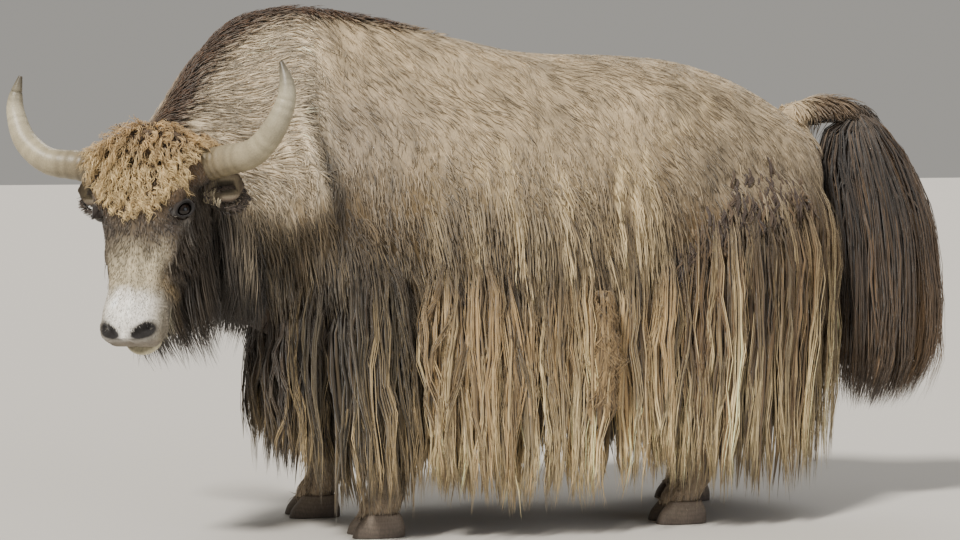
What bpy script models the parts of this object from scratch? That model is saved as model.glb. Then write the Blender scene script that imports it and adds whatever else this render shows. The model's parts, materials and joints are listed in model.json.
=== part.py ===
"""A yak bull, life size, standing with its head turned to its left.

The row frame is in metres with +Z up. The yak faces -Y, its left side is +X, and it stands on z = 0 with the
origin under the middle of its bounding box.
"""

import math
import random

import bmesh
import bpy
import numpy as np
from mathutils import Matrix, Vector
from mathutils.bvhtree import BVHTree

# Frame
ORIGIN_SHIFT = (-0.052, 0.121)  # from the middle of the trunk to the middle of the bounding box
GAP = 0.0003  # between touching nodes
SIDES = ((1, "left"), (-1, "right"))
SEED = 12

# Fineness of the flesh
VOXEL = 0.009
SMOOTH_ROUNDS = 6
FLESH_TRIANGLES = 2600
STEPS = 4  # sections between two rows of a table
TRUNK_SIDES = 40
HEAD_SIDES = 32
LEG_SIDES = 24
DOCK_SIDES = 20
SOLVER = "MANIFOLD"  # the exact solver is slow on this many locks

# Trunk sections from the rump to the withers: y, height of the widest line, reach above, reach below,
# half width, roundness above, roundness below. Roundness 2 is an ellipse, under 2 is a ridge.
TRUNK = [
    (0.800, 0.900, 0.060, 0.090, 0.060, 2.0, 2.0),
    (0.765, 0.905, 0.135, 0.170, 0.150, 2.0, 2.0),
    (0.680, 0.915, 0.195, 0.240, 0.225, 1.9, 2.0),
    (0.540, 0.920, 0.270, 0.300, 0.275, 1.8, 2.1),
    (0.370, 0.900, 0.343, 0.340, 0.315, 1.8, 2.2),
    (0.170, 0.860, 0.400, 0.370, 0.350, 1.8, 2.3),
    (-0.050, 0.840, 0.425, 0.380, 0.360, 1.75, 2.3),
    (-0.250, 0.840, 0.465, 0.380, 0.345, 1.65, 2.2),
    (-0.450, 0.850, 0.500, 0.370, 0.310, 1.55, 2.1),
    (-0.620, 0.870, 0.508, 0.380, 0.285, 1.5, 2.0),
    (-0.740, 0.880, 0.488, 0.375, 0.245, 1.55, 2.0),
]
# Neck sections onwards to the poll: x, y, height, yaw and pitch in degrees, reach above, reach below,
# half width, roundness above, roundness below
NECK = [
    (0.015, -0.820, 0.880, 8, 3, 0.455, 0.350, 0.215, 1.6, 2.0),
    (0.055, -0.895, 0.870, 20, 8, 0.370, 0.330, 0.190, 1.7, 2.0),
    (0.105, -0.955, 0.865, 32, 18, 0.265, 0.290, 0.168, 1.8, 2.0),
    (0.155, -1.010, 0.870, 42, 34, 0.185, 0.220, 0.140, 1.9, 2.0),
]

# Head, measured along its own length from the poll to the nose
POLL = (0.204, -1.066, 0.985)
HEAD_YAW = 49.0
HEAD_PITCH = 69.0
HEAD_TILT = 2.5
HEAD = [  # distance from the poll, centre height, reach above, reach below, half width, roundness
    (-0.050, -0.030, 0.050, 0.080, 0.085, 2.0),
    (0.000, -0.020, 0.070, 0.120, 0.128, 2.2),
    (0.080, -0.020, 0.085, 0.152, 0.134, 2.3),
    (0.150, -0.020, 0.078, 0.160, 0.133, 2.3),
    (0.215, -0.020, 0.062, 0.150, 0.112, 2.3),
    (0.285, -0.022, 0.050, 0.130, 0.092, 2.3),
    (0.345, -0.024, 0.044, 0.106, 0.084, 2.4),
    (0.400, -0.026, 0.044, 0.082, 0.090, 2.5),
    (0.445, -0.030, 0.044, 0.068, 0.091, 2.6),
    (0.478, -0.032, 0.032, 0.042, 0.070, 2.6),
]
# Sideways, distance, height, and the radii along the same three: brow, cheek, horn seat, nose, cheekbone
HEAD_BULGES = [
    (0.112, 0.128, 0.036, 0.030, 0.045, 0.026),
    (0.082, 0.170, -0.088, 0.038, 0.100, 0.075),
    (0.120, 0.032, 0.000, 0.070, 0.055, 0.056),
    (0.052, 0.440, -0.020, 0.044, 0.040, 0.036),
    (0.088, 0.215, -0.012, 0.022, 0.075, 0.020),
]
POLL_BULGE = (0, -0.010, 0.035, 0.125, 0.055, 0.045)
CHIN_BULGE = (0, 0.446, -0.088, 0.058, 0.048, 0.028)
EYE = (0.117, 0.150, 0.012)  # sideways, distance from the poll, above the head's line
EYE_RADIUS = 0.022
LID = 0.0050  # half the thickness of an eyelid
LID_OVAL = (0.025, 0.016)  # half the length and half the height of the opening between the lids
HORN = [  # sideways, distance from the poll, above the head's line, radius
    (0.110, 0.034, -0.010, 0.041),
    (0.170, 0.024, -0.004, 0.040),
    (0.221, 0.017, 0.003, 0.038),
    (0.302, 0.008, 0.022, 0.034),
    (0.363, -0.037, 0.046, 0.030),
    (0.396, -0.104, 0.061, 0.024),
    (0.398, -0.150, 0.074, 0.018),
    (0.382, -0.205, 0.090, 0.004),
]
HORN_SIDES = 10
EAR_ROOT = (0.122, 0.088, -0.060)
EAR_WAY = (0.93, 0.02, -0.12)
EAR_FACE = (0.00, 0.30, 1.00)  # where the cup opens to
EAR_LENGTH = 0.118
EAR_SIDES = 8
EAR = [  # share of the length, half width, half thickness
    (0.00, 0.018, 0.016),
    (0.20, 0.024, 0.019),
    (0.45, 0.036, 0.020),
    (0.70, 0.038, 0.016),
    (0.88, 0.027, 0.011),
    (1.00, 0.006, 0.005),
]
EAR_CUP = (0.60, 0.012, 0.042, 0.027, 0.017)  # share of the length, lift, the cup's radii: long, wide, deep
NOSTRIL = (0.050, 0.462, 0.002)
NOSTRIL_RADII = (0.016, 0.022, 0.010)
NOSTRIL_TURN = 35.0
MOUTH = (0.385, -0.066)  # middle of the mouth's curve: distance from the poll, above the head's line
MOUTH_SWEEP = 118.0  # degrees to either side of the nose
MOUTH_GROOVE = 0.005

# Legs: x, y, z, half width, reach forwards, reach backwards, from the top down, for the left side
FORELEG = [
    (0.190, -0.60, 0.960, 0.090, 0.150, 0.160),
    (0.212, -0.60, 0.800, 0.105, 0.150, 0.170),
    (0.212, -0.575, 0.640, 0.095, 0.115, 0.135),
    (0.198, -0.545, 0.520, 0.072, 0.080, 0.088),
    (0.186, -0.530, 0.420, 0.055, 0.060, 0.062),
    (0.180, -0.528, 0.340, 0.052, 0.056, 0.052),
    (0.176, -0.525, 0.290, 0.044, 0.048, 0.045),
    (0.175, -0.520, 0.220, 0.038, 0.038, 0.042),
    (0.175, -0.520, 0.150, 0.040, 0.040, 0.046),
    (0.175, -0.525, 0.110, 0.050, 0.050, 0.056),
    (0.175, -0.538, 0.075, 0.054, 0.060, 0.052),
    (0.175, -0.545, 0.040, 0.054, 0.060, 0.050),
]
HINDLEG = [
    (0.120, 0.490, 1.000, 0.100, 0.150, 0.150),
    (0.205, 0.480, 0.880, 0.125, 0.215, 0.215),
    (0.222, 0.460, 0.750, 0.120, 0.205, 0.200),
    (0.215, 0.430, 0.620, 0.095, 0.150, 0.150),
    (0.198, 0.430, 0.500, 0.066, 0.090, 0.100),
    (0.186, 0.455, 0.410, 0.050, 0.060, 0.075),
    (0.180, 0.465, 0.350, 0.045, 0.052, 0.062),
    (0.176, 0.450, 0.280, 0.038, 0.042, 0.048),
    (0.175, 0.430, 0.190, 0.038, 0.040, 0.044),
    (0.175, 0.412, 0.120, 0.050, 0.050, 0.056),
    (0.175, 0.392, 0.080, 0.055, 0.060, 0.052),
    (0.175, 0.382, 0.040, 0.055, 0.062, 0.050),
]
# How far each foot stands in front of (-) or behind (+) the leg that the tables give
STEP = {"fore_left": 0.060, "fore_right": -0.040, "hind_left": -0.040, "hind_right": 0.100}
LEG_TOP = 0.75  # above this height the stance moves nothing

# Claws: height, reach forwards, reach backwards, half width of one claw of a foot
CLAW = [
    (0.000, 0.078, 0.060, 0.031),
    (0.024, 0.070, 0.060, 0.031),
    (0.058, 0.042, 0.050, 0.027),
]
CLAW_TOP = 0.058
CLAW_APART = 0.034  # from the foot's middle line to each claw's

# Tail: y, z, half width, reach above, reach below; the dock rises behind the rump and arches over
DOCK = [
    (0.700, 1.078, 0.050, 0.045, 0.050),
    (0.780, 1.103, 0.045, 0.042, 0.044),
    (0.860, 1.106, 0.040, 0.040, 0.038),
    (0.930, 1.080, 0.038, 0.040, 0.036),
    (0.975, 1.010, 0.036, 0.040, 0.036),
    (0.995, 0.925, 0.032, 0.036, 0.034),
    (1.003, 0.840, 0.024, 0.028, 0.026),
]
# Where the flesh is parted
HEAD_SEAM = ((-0.075, 0.020), (0.130, -0.200))  # distance and height behind the poll and behind the jaw
JAW_HEIGHT = -0.195  # the throat below this, above the head's own line, belongs to the neck
NECK_CUT = -0.725
SHOULDER_CUT = -0.372
HIP_CUT = 0.200
CUTS = {  # lowest and highest corner of the space a node is taken from; the head's own are turned with it
    "head": [((-0.30, -0.80, -0.50), (0.30, 0.0, 0.20)), ((-0.30, -0.70, JAW_HEIGHT), (0.30, 0.30, 0.30))],
    "neck": [((-0.6, -1.6, 0.2), (0.6, NECK_CUT, 1.6))],
    "tail_switch": [((-0.3, 0.875, 0.7), (0.3, 1.4, 1.3))],
    "tail_dock": [((-0.2, 0.752, 1.042), (0.2, 1.0, 1.3))],
}
KNEE = 0.300
HOCK = 0.330
SHIN_LAP = 0.1  # how far beyond the upper leg's own space the space of a shin and that of a leg reach
SIDE_CUTS = {  # the same for both sides: distance from the middle, then y and z of the two corners
    "fore_shin": (0.020, -0.80, CLAW_TOP + GAP, SHOULDER_CUT + SHIN_LAP, KNEE),
    "hind_shin": (0.020, HIP_CUT - SHIN_LAP, CLAW_TOP + GAP, 0.90, HOCK),
    "foreleg": (0.085, NECK_CUT - SHIN_LAP, KNEE - SHIN_LAP, SHOULDER_CUT, 0.680),
    "thigh": (0.060, HIP_CUT, HOCK - SHIN_LAP, 0.95, 0.985),
    "flank": (GAP / 2, SHOULDER_CUT + GAP, 0.20, HIP_CUT - GAP, 0.660),
}
SIDE_REACH = 0.7  # from the middle to beyond the flanks
# Behind the head's cut and behind its jaw, kept free of the head's hair
NECK_BEHIND = ((-0.5, 0.0, -0.30), (0.5, 0.5, 0.5))
JAW_BEHIND = ((-0.5, -0.7, -0.60), (0.5, 0.3, JAW_HEIGHT))

# Curtains of long hair. Rows along each root line: x and y to aim at, height of the root, the way out of the
# body in degrees (0 is the left, 90 the front), height of the tips. Tiers from the inmost: number of locks, how
# far their roots are moved up or down, how far they stand out
CURTAINS = {
    "flank": dict(
        rows=[
            (0.33, -0.334, 0.640, 8, 0.120),
            (0.34, -0.190, 0.645, 2, 0.090),
            (0.34, 0.000, 0.645, -2, 0.085),
            (0.33, 0.162, 0.640, -6, 0.130),
        ],
        tiers=[(6, -0.040, 0.024), (7, 0.010, 0.052)],
        width=0.092,
        thick=0.017,
    ),
    "foreleg": dict(
        rows=[
            (0.15, -0.610, 0.500, 112, 0.180),
            (0.20, -0.620, 0.550, 76, 0.090),
            (0.26, -0.575, 0.590, 36, 0.055),
            (0.28, -0.510, 0.610, 4, 0.045),
            (0.27, -0.445, 0.620, -20, 0.070),
            (0.23, -0.405, 0.600, -52, 0.130),
        ],
        tiers=[(5, -0.045, 0.018), (6, 0.000, 0.042)],
        width=0.084,
        thick=0.016,
    ),
    "thigh": dict(
        rows=[
            (0.32, 0.240, 0.640, 8, 0.150),
            (0.33, 0.320, 0.740, 0, 0.090),
            (0.33, 0.430, 0.850, -4, 0.070),
            (0.30, 0.530, 0.895, -14, 0.070),
            (0.25, 0.610, 0.880, -34, 0.080),
            (0.17, 0.690, 0.850, -62, 0.100),
            (0.11, 0.720, 0.820, -80, 0.130),
        ],
        tiers=[(8, -0.120, 0.022), (10, 0.000, 0.050)],
        width=0.106,
        thick=0.019,
    ),
    "neck": dict(
        rows=[
            (0.16, -0.890, 0.650, 36, 0.570),
            (0.15, -0.860, 0.635, 30, 0.530),
            (0.15, -0.815, 0.600, 22, 0.420),
            (0.15, -0.760, 0.580, 12, 0.340),
        ],
        tiers=[(4, 0.000, 0.014), (4, 0.060, 0.032)],
        width=0.078,
        thick=0.015,
    ),
}
STEPS_WITH = {"foreleg": "fore", "thigh": "hind"}  # the foot that a curtain's lower part moves with
FOLLOW = 0.5  # share of the foot's step that it takes
SWITCH_TIERS = [  # number of locks, y and height of the roots, how far they stand out, height of the tips
    (7, 0.985, 0.950, 0.100, 0.290),
    (10, 0.955, 1.050, 0.160, 0.300),
]
SWITCH_LOCK = (0.115, 0.028)  # width and thickness
SWITCH_FRONT = 0.5  # share of the standing out that is left towards the rump
SWITCH_RISE = 0.75  # share of a tail lock at which it stands out furthest
LOCK_RISE = 0.3
SWITCH_NARROW = 0.4  # share of the width that a tail lock has at its root
LOCK_NARROW = 0.68
LOCK_SINK = 0.030  # how deep a lock's root lies under the surface
LOCK_WAVE = 0.008
LOCK_STATIONS = 4
LOCK_LAST = 0.85  # share of a lock at its last section, before the tip
LOCK_SPREAD = 0.15  # how unevenly locks and curls are set along their row
LOCK_HEIGHTS = 0.025  # how far their roots stray up and down
LOCK_TIPS = (-0.010, 0.035)  # how far their tips stray
LOCK_WIDTHS = (0.85, 1.10)
TIER_TURN = 1.7  # turn of the wave from tier to tier, and from lock to lock
LOCK_TURN = 0.9
RAY = 0.8  # length of the line along which a surface is sought

# The forehead's curls: rows, columns, distance from the poll of the first and last row, half width
FORELOCK = (4, 6, -0.050, 0.150, 0.160)
FORELOCK_AIM = 0.35  # how far above the forehead the roots are sought from
FORELOCK_LEAN = 0.10  # how much further back for the rows on the poll
FORELOCK_POINT = 0.35  # share by which the outer curls end nearer to the poll
CLUMP = (0.052, 0.042, 0.032)  # radii of one curl: long, wide, deep
CLUMP_SIZES = (0.85, 1.15)
CLUMP_TILT = 0.5
BEARD = [  # sideways, distance from the poll, height on the head, length of the hair
    (0.040, 0.415, -0.100, 0.040),
    (0.056, 0.370, -0.105, 0.060),
    (0.064, 0.320, -0.115, 0.080),
    (0.072, 0.275, -0.130, 0.095),
    (0.078, 0.230, -0.150, 0.105),
    (0.080, 0.185, -0.160, 0.110),
]
BEARD_LOCK = (0.050, 0.013)  # width and thickness
BEARD_BULGES = (0.010, 0.022)  # how far its locks stand out, in turn
BEARD_AIM = (0.2, 0.05)  # from how far outside and below the jaw its roots are sought

STUFF = {  # what each kind of node is made of, where it isn't plain coat
    "flank": "long_coat",
    "foreleg": "long_coat",
    "thigh": "long_coat",
    "tail": "tail_coat",
    "horn": "horn",
    "eye": "eye",
    "claw": "hoof",
}
COLOURS = {  # base colour, roughness
    "coat": ((0.34, 0.27, 0.21), 0.85),
    "long_coat": ((0.42, 0.31, 0.20), 0.80),
    "tail_coat": ((0.12, 0.09, 0.07), 0.75),
    "horn": ((0.45, 0.42, 0.33), 0.45),
    "eye": ((0.02, 0.015, 0.012), 0.08),
    "hoof": ((0.16, 0.14, 0.12), 0.55),
}


def catmull_rom(rows, steps):
    """Rows of sizes with a number of steps between neighbours, on a smooth curve through all of them."""
    p = np.array(rows, float)
    p = np.vstack([2 * p[0] - p[1], p, 2 * p[-1] - p[-2]])
    out = []
    for a, b, c, d in zip(p, p[1:], p[2:], p[3:]):
        for t in np.arange(steps) / steps:
            out.append(
                b + 0.5 * t * (c - a + t * (2 * a - 5 * b + 4 * c - d + t * (3 * (b - c) + d - a)))
            )
    return np.array([*out, p[-2]])


def unit(v):
    v = np.asarray(v, float)
    return v / np.linalg.norm(v)


def head_matrix():
    """Carries head coordinates (sideways to the left, back from the nose, above) to the row frame."""
    yaw = Matrix.Rotation(math.radians(HEAD_YAW), 4, "Z")
    pitch = Matrix.Rotation(math.radians(HEAD_PITCH), 4, "X")
    tilt = Matrix.Rotation(math.radians(HEAD_TILT), 4, "Z")
    return Matrix.Translation(POLL) @ yaw @ pitch @ tilt


def on_head(sideways, distance, height):
    """A point given by its place on the head, in the row frame."""
    return np.array(head_matrix() @ Vector((sideways, -distance, height)))


def ring_frame(yaw, pitch):
    """Side and upward directions of a section that faces yaw (0 is -Y) and dips by pitch, in degrees."""
    a, b = math.radians(yaw), math.radians(pitch)
    side = np.array([math.cos(a), math.sin(a), 0])
    forward = np.array([math.sin(a) * math.cos(b), -math.cos(a) * math.cos(b), -math.sin(b)])
    return side, np.cross(forward, side)


def section(centre, side, up, half_width, above, below, round_above=2.0, round_below=2.0, sides=LEG_SIDES):
    """Points of one rounded cross-section, counter-clockwise from the left side."""
    points = []
    for angle in np.arange(sides) * 2 * math.pi / sides:
        c, s = math.cos(angle), math.sin(angle)
        power = 2 / (round_above if s > 0 else round_below)
        across = half_width * math.copysign(abs(c) ** power, c)
        along = (above if s > 0 else below) * math.copysign(abs(s) ** power, s)
        points.append(np.asarray(centre) + across * side + along * up)
    return points


def mesh_object(name, build):
    """A new object whose mesh is what build() puts in a bmesh, with its faces pointing out."""
    bm = bmesh.new()
    build(bm)
    bmesh.ops.recalc_face_normals(bm, faces=bm.faces[:])
    mesh = bpy.data.meshes.new(name)
    bm.to_mesh(mesh)
    bm.free()
    obj = bpy.data.objects.new(name, mesh)
    bpy.context.scene.collection.objects.link(obj)
    return obj


def loft(name, rings, tip=None):
    """A closed solid through rings of equally many points, ended by fans, the last one to the tip if given."""

    def build(bm):
        loops = [[bm.verts.new(p) for p in ring] for ring in rings]
        for low, high in zip(loops, loops[1:]):
            for i in range(len(low)):
                j = (i + 1) % len(low)
                bm.faces.new((low[i], low[j], high[j]))
                bm.faces.new((low[i], high[j], high[i]))
        last = np.mean(rings[-1], axis=0) if tip is None else tip
        for loop, point in ((loops[0], np.mean(rings[0], axis=0)), (loops[-1], last)):
            middle = bm.verts.new(point)
            for i in range(len(loop)):
                bm.faces.new((loop[i], loop[(i + 1) % len(loop)], middle))

    return mesh_object(name, build)


def tube(name, path, radii, sides):
    """A closed tube along a path, its sections turning with it."""
    path = np.asarray(path, float)
    ahead = np.gradient(path, axis=0)
    across = unit(np.cross(ahead[0], ahead[-1] + np.array([1e-4, 2e-4, 3e-4])))
    rings = []
    for point, way, radius in zip(path, ahead, radii):
        other = unit(np.cross(way, across))
        across = unit(np.cross(other, way))
        angles = np.arange(sides) * 2 * math.pi / sides
        rings.append([point + radius * (math.cos(a) * across + math.sin(a) * other) for a in angles])
    return loft(name, rings)


def ellipsoid(name, place, radii, segments=16, rings=12):
    """An ellipsoid at a place given by a matrix."""
    shape = place @ Matrix.Diagonal((*radii, 1))

    def build(bm):
        bmesh.ops.create_uvsphere(bm, u_segments=segments, v_segments=rings, radius=1, matrix=shape)

    return mesh_object(name, build)


def box(name, low, high, place=None):
    """A box between two corners, in the row frame or in that of a matrix."""
    low, high = Vector(low), Vector(high)
    shape = (place or Matrix()) @ Matrix.Translation((low + high) / 2) @ Matrix.Diagonal((*(high - low), 1))

    def build(bm):
        bmesh.ops.create_cube(bm, size=1, matrix=shape)

    return mesh_object(name, build)


def apply_modifiers(obj):
    """Replaces the object's mesh by the evaluated one."""
    graph = bpy.context.evaluated_depsgraph_get()
    mesh = bpy.data.meshes.new_from_object(obj.evaluated_get(graph))
    obj.modifiers.clear()
    old, obj.data = obj.data, mesh
    bpy.data.meshes.remove(old)


def boolean(obj, others, operation):
    """Joins the others to the object, cuts them from it or keeps what they share, and removes them."""
    tools = bpy.data.collections.new("tools")
    bpy.context.scene.collection.children.link(tools)
    for other in others:
        tools.objects.link(other)
    modifier = obj.modifiers.new(operation.lower(), "BOOLEAN")
    modifier.operation = operation
    modifier.solver = SOLVER
    modifier.operand_type = "COLLECTION"
    modifier.collection = tools
    apply_modifiers(obj)
    for other in others:
        bpy.data.objects.remove(other)
    bpy.data.collections.remove(tools)


def copy_of(obj, name):
    twin = bpy.data.objects.new(name, obj.data.copy())
    bpy.context.scene.collection.objects.link(twin)
    return twin


def keep_largest(obj):
    """Leaves only the closed surface with the largest area."""
    bm = bmesh.new()
    bm.from_mesh(obj.data)
    unseen, pieces = set(bm.faces), []
    while unseen:
        front, piece = [unseen.pop()], []
        while front:
            face = front.pop()
            piece.append(face)
            for edge in face.edges:
                if len(edge.link_faces) > 2:  # two surfaces only touch there
                    continue
                for near in edge.link_faces:
                    if near in unseen:
                        unseen.discard(near)
                        front.append(near)
        pieces.append(piece)
    pieces.sort(key=lambda piece: sum(face.calc_area() for face in piece))
    for piece in pieces[:-1]:
        bmesh.ops.delete(bm, geom=piece, context="FACES")
    loose = [v for v in bm.verts if not v.link_faces]
    bmesh.ops.delete(bm, geom=loose, context="VERTS")
    bm.to_mesh(obj.data)
    bm.free()


def trunk_and_neck():
    """The body from the rump to the poll as one loft."""
    rows = [(0, y, z, 0, 0, up, down, half, r_up, r_down) for y, z, up, down, half, r_up, r_down in TRUNK]
    rings = []
    for x, y, z, yaw, pitch, up, down, half, r_up, r_down in catmull_rom(rows + NECK, STEPS):
        side, above = ring_frame(yaw, pitch)
        rings.append(section((x, y, z), side, above, half, up, down, r_up, r_down, TRUNK_SIDES))
    return loft("trunk", rings)


def head_flesh():
    """The head's loft with its brows, cheeks, horn seats, nose and chin."""
    matrix = head_matrix()
    rings = []
    for distance, height, above, below, half, roundness in catmull_rom(HEAD, STEPS):
        shape = half, above, below, roundness, roundness, HEAD_SIDES
        flat = section((0, -distance, height), np.array([1, 0, 0]), np.array([0, 0, 1]), *shape)
        rings.append([np.array(matrix @ Vector(p)) for p in flat])
    parts = [loft("skull", rings)]
    bulges = [(side * row[0], *row[1:]) for row in HEAD_BULGES for side in (-1, 1)]
    for x, d, z, *radii in [*bulges, POLL_BULGE, CHIN_BULGE]:
        parts.append(ellipsoid("bulge", matrix @ Matrix.Translation((x, -d, z)), radii))
    return parts


def stance(z):
    """Share of a foot's step that the leg has taken at a height."""
    return min(1.0, max(0.0, (LEG_TOP - z) / LEG_TOP) ** 0.8 * 1.05)


def leg(rows, step, mirror):
    """One leg, stepped forwards or back below LEG_TOP and mirrored for the right side."""
    rings = []
    for x, y, z, half, front, back in catmull_rom(rows, STEPS):
        centre = (mirror * x, y + step * stance(z), z)
        rings.append(section(centre, np.array([1, 0, 0]), np.array([0, -1, 0]), half, front, back))
    return loft("leg", rings)


def dock():
    """The fleshy part of the tail, arched over."""
    rows = catmull_rom(DOCK, STEPS)
    ahead = np.gradient(rows[:, :2], axis=0)
    rings = []
    for (y, z, half, above, below), (dy, dz) in zip(rows, ahead):
        length = math.hypot(dy, dz)
        up = np.array([0, -dz / length, dy / length])
        rings.append(section((0, y, z), np.array([1, 0, 0]), up, half, above, below, sides=DOCK_SIDES))
    return loft("dock", rings)


def joined(name, parts):
    """One object that holds the meshes of all the parts."""

    def build(bm):
        for part in parts:
            bm.from_mesh(part.data)

    obj = mesh_object(name, build)
    for part in parts:
        bpy.data.objects.remove(part)
    return obj


def whole_flesh():
    """All the flesh as one smooth closed skin."""
    parts = [trunk_and_neck(), dock(), *head_flesh()]
    for rows, name in ((FORELEG, "fore"), (HINDLEG, "hind")):
        parts.append(leg(rows, STEP[f"{name}_left"], 1))
        parts.append(leg(rows, STEP[f"{name}_right"], -1))
    flesh = joined("flesh", parts)
    remesh = flesh.modifiers.new("skin", "REMESH")
    remesh.mode = "VOXEL"
    remesh.voxel_size = VOXEL
    smooth = flesh.modifiers.new("smooth", "SMOOTH")
    smooth.factor = 0.5
    smooth.iterations = SMOOTH_ROUNDS
    apply_modifiers(flesh)
    decimate = flesh.modifiers.new("coarser", "DECIMATE")
    decimate.ratio = FLESH_TRIANGLES / (2 * len(flesh.data.polygons))
    apply_modifiers(flesh)
    return flesh


def cut_out(flesh, name, *bounds):
    """Takes the flesh inside all the boxes out as an object of its own, with GAP between it and the rest."""
    piece = copy_of(flesh, name)
    for low, high, place in bounds:
        boolean(piece, [box("inside", low, high, place)], "INTERSECT")
    taken, *limits = [
        box("taken", np.subtract(low, GAP), np.add(high, GAP), place) for low, high, place in bounds
    ]
    for limit in limits:
        boolean(taken, [limit], "INTERSECT")
    boolean(flesh, [taken], "DIFFERENCE")
    keep_largest(piece)
    return piece


def seam_matrix():
    """The frame of the cut between head and neck: its third axis runs up along the cut, its second back."""
    (poll_distance, poll_height), (jaw_distance, jaw_height) = HEAD_SEAM
    tilt = Matrix.Rotation(-math.atan2(jaw_distance - poll_distance, poll_height - jaw_height), 4, "X")
    return head_matrix() @ Matrix.Translation((0, -poll_distance, poll_height)) @ tilt


def mirrored(side, inner, y_low, z_low, y_high, z_high):
    """The corners of a space on one side of the body."""
    x_low, x_high = sorted((side * inner, side * SIDE_REACH))
    return (x_low, y_low, z_low), (x_high, y_high, z_high), None


def part_flesh(flesh):
    """The flesh as named pieces, parted by thin cuts. What is left is the torso."""
    nodes = {}
    frames = {"head": [seam_matrix(), head_matrix()]}
    for name, corners in CUTS.items():
        bounds = [(*pair, frame) for pair, frame in zip(corners, frames.get(name, [None]))]
        nodes[name] = cut_out(flesh, name, *bounds)
    for side, where in SIDES:
        for part, sizes in SIDE_CUTS.items():
            name = f"{part}_{where}"
            nodes[name] = cut_out(flesh, name, mirrored(side, *sizes))
    flesh.name = "torso"
    keep_largest(flesh)
    nodes["torso"] = flesh
    return nodes


def curtain_row(rows, share):
    """The row of a root line at a share of its length."""
    fine = catmull_rom(rows, 8)
    where = share * (len(fine) - 1)
    low = min(int(where), len(fine) - 2)
    return fine[low] + (where - low) * (fine[low + 1] - fine[low])


def cast(surface, start, way):
    """Where a line from the start meets the surface, or else the nearest point of it to the line's middle."""
    hit = surface.ray_cast(Vector(start), Vector(way), RAY)[0]
    if hit is None:
        hit = surface.find_nearest(Vector(np.asarray(start) + 0.5 * RAY * unit(way)))[0]
    return np.array(hit)


def root_of(surface, row, lower=0.0):
    """Where a lock leaves the surface, the way out of the body there, and the height of its tip."""
    x, y, z, turn, tip = row
    out = np.array([math.cos(math.radians(turn)), -math.sin(math.radians(turn)), 0])
    return cast(surface, np.array([x, y, z + lower]) + 0.5 * RAY * out, -out), out, tip


def lock(root, bulge, width, thick, phase=0.0, step=0.0, rise=LOCK_RISE, narrow=LOCK_NARROW):
    """A flat tapered lock that leaves the surface, bends over and hangs down to the height of its tip."""
    point, out, tip = root
    along = np.array([-out[1], out[0], 0])
    rings = []
    for s in np.append(np.linspace(0, LOCK_LAST, LOCK_STATIONS), 1):
        z = point[2] + (tip - point[2]) * s**1.15
        lift = bulge * math.sin(min(s / rise, 1) * math.pi / 2) - LOCK_SINK * max(0.0, 1 - s / 0.12)
        sway = LOCK_WAVE * math.sin(phase + 7.0 * s) * min(1, 3 * s)
        centre = point + lift * out + sway * along
        centre[1] += step * (stance(z) - stance(point[2]))
        centre[2] = z
        half = 0.5 * width * (narrow + (1 - narrow) * min(1, s / rise)) * (1 - 0.25 * s) * (1 - s**5)
        deep = 0.5 * thick * (1 - 0.7 * s)
        rings.append([centre + half * along, centre + deep * out, centre - half * along, centre - deep * out])
    end = np.mean(rings.pop(), axis=0)
    return loft("lock", rings, end)


def mirror_rows(rows, side):
    """The rows of the left side, or the same for the right."""
    if side > 0:
        return rows
    return [(-x, y, z, 180 - turn, tip) for x, y, z, turn, tip in rows]


def curtain(surface, rows, tiers, width, thick, draw, step=0.0):
    """Tiers of locks along a root line."""
    made = []
    for tier, (count, lower, bulge) in enumerate(tiers):
        for i in range(count):
            share = (i + 0.5 + draw.uniform(-LOCK_SPREAD, LOCK_SPREAD)) / count
            height = lower + draw.uniform(-LOCK_HEIGHTS, LOCK_HEIGHTS)
            point, out, tip = root_of(surface, curtain_row(rows, share), height)
            root = point, out, tip + draw.uniform(*LOCK_TIPS)
            size = width * draw.uniform(*LOCK_WIDTHS)
            made.append(lock(root, bulge, size, thick, tier * TIER_TURN + i * LOCK_TURN, step))
    return made


def switch_locks(surface, draw):
    """Rings of locks around the hanging part of the dock."""
    width, thick = SWITCH_LOCK
    made = []
    for tier, (count, y, height, bulge, tip) in enumerate(SWITCH_TIERS):
        for i in range(count):
            angle = 2 * math.pi * (i + 0.5 * (tier % 2) + draw.uniform(-LOCK_SPREAD, LOCK_SPREAD)) / count
            out = np.array([math.cos(angle), math.sin(angle), 0])
            point = cast(surface, np.array([0, y, height]) + 0.5 * RAY * out, -out)
            root = point, out, tip + draw.uniform(*LOCK_TIPS)
            reach = bulge * (1 + (1 - SWITCH_FRONT) * min(0.0, math.sin(angle)))
            turn = i * LOCK_TURN
            made.append(lock(root, reach, width, thick, turn, rise=SWITCH_RISE, narrow=SWITCH_NARROW))
    return made


def beard_roots(surface, side):
    """Roots along the lower edge of one jaw."""
    roots = []
    aside, below = BEARD_AIM
    for sideways, distance, height, length in BEARD:
        inside = on_head(0, distance, height + below / 2)
        outside = on_head(side * (sideways + aside), distance, height - below)
        point = cast(surface, outside, inside - outside)
        out = unit((outside - inside) * np.array([1, 1, 0]))
        roots.append((point, out, point[2] - length))
    return roots


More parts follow.
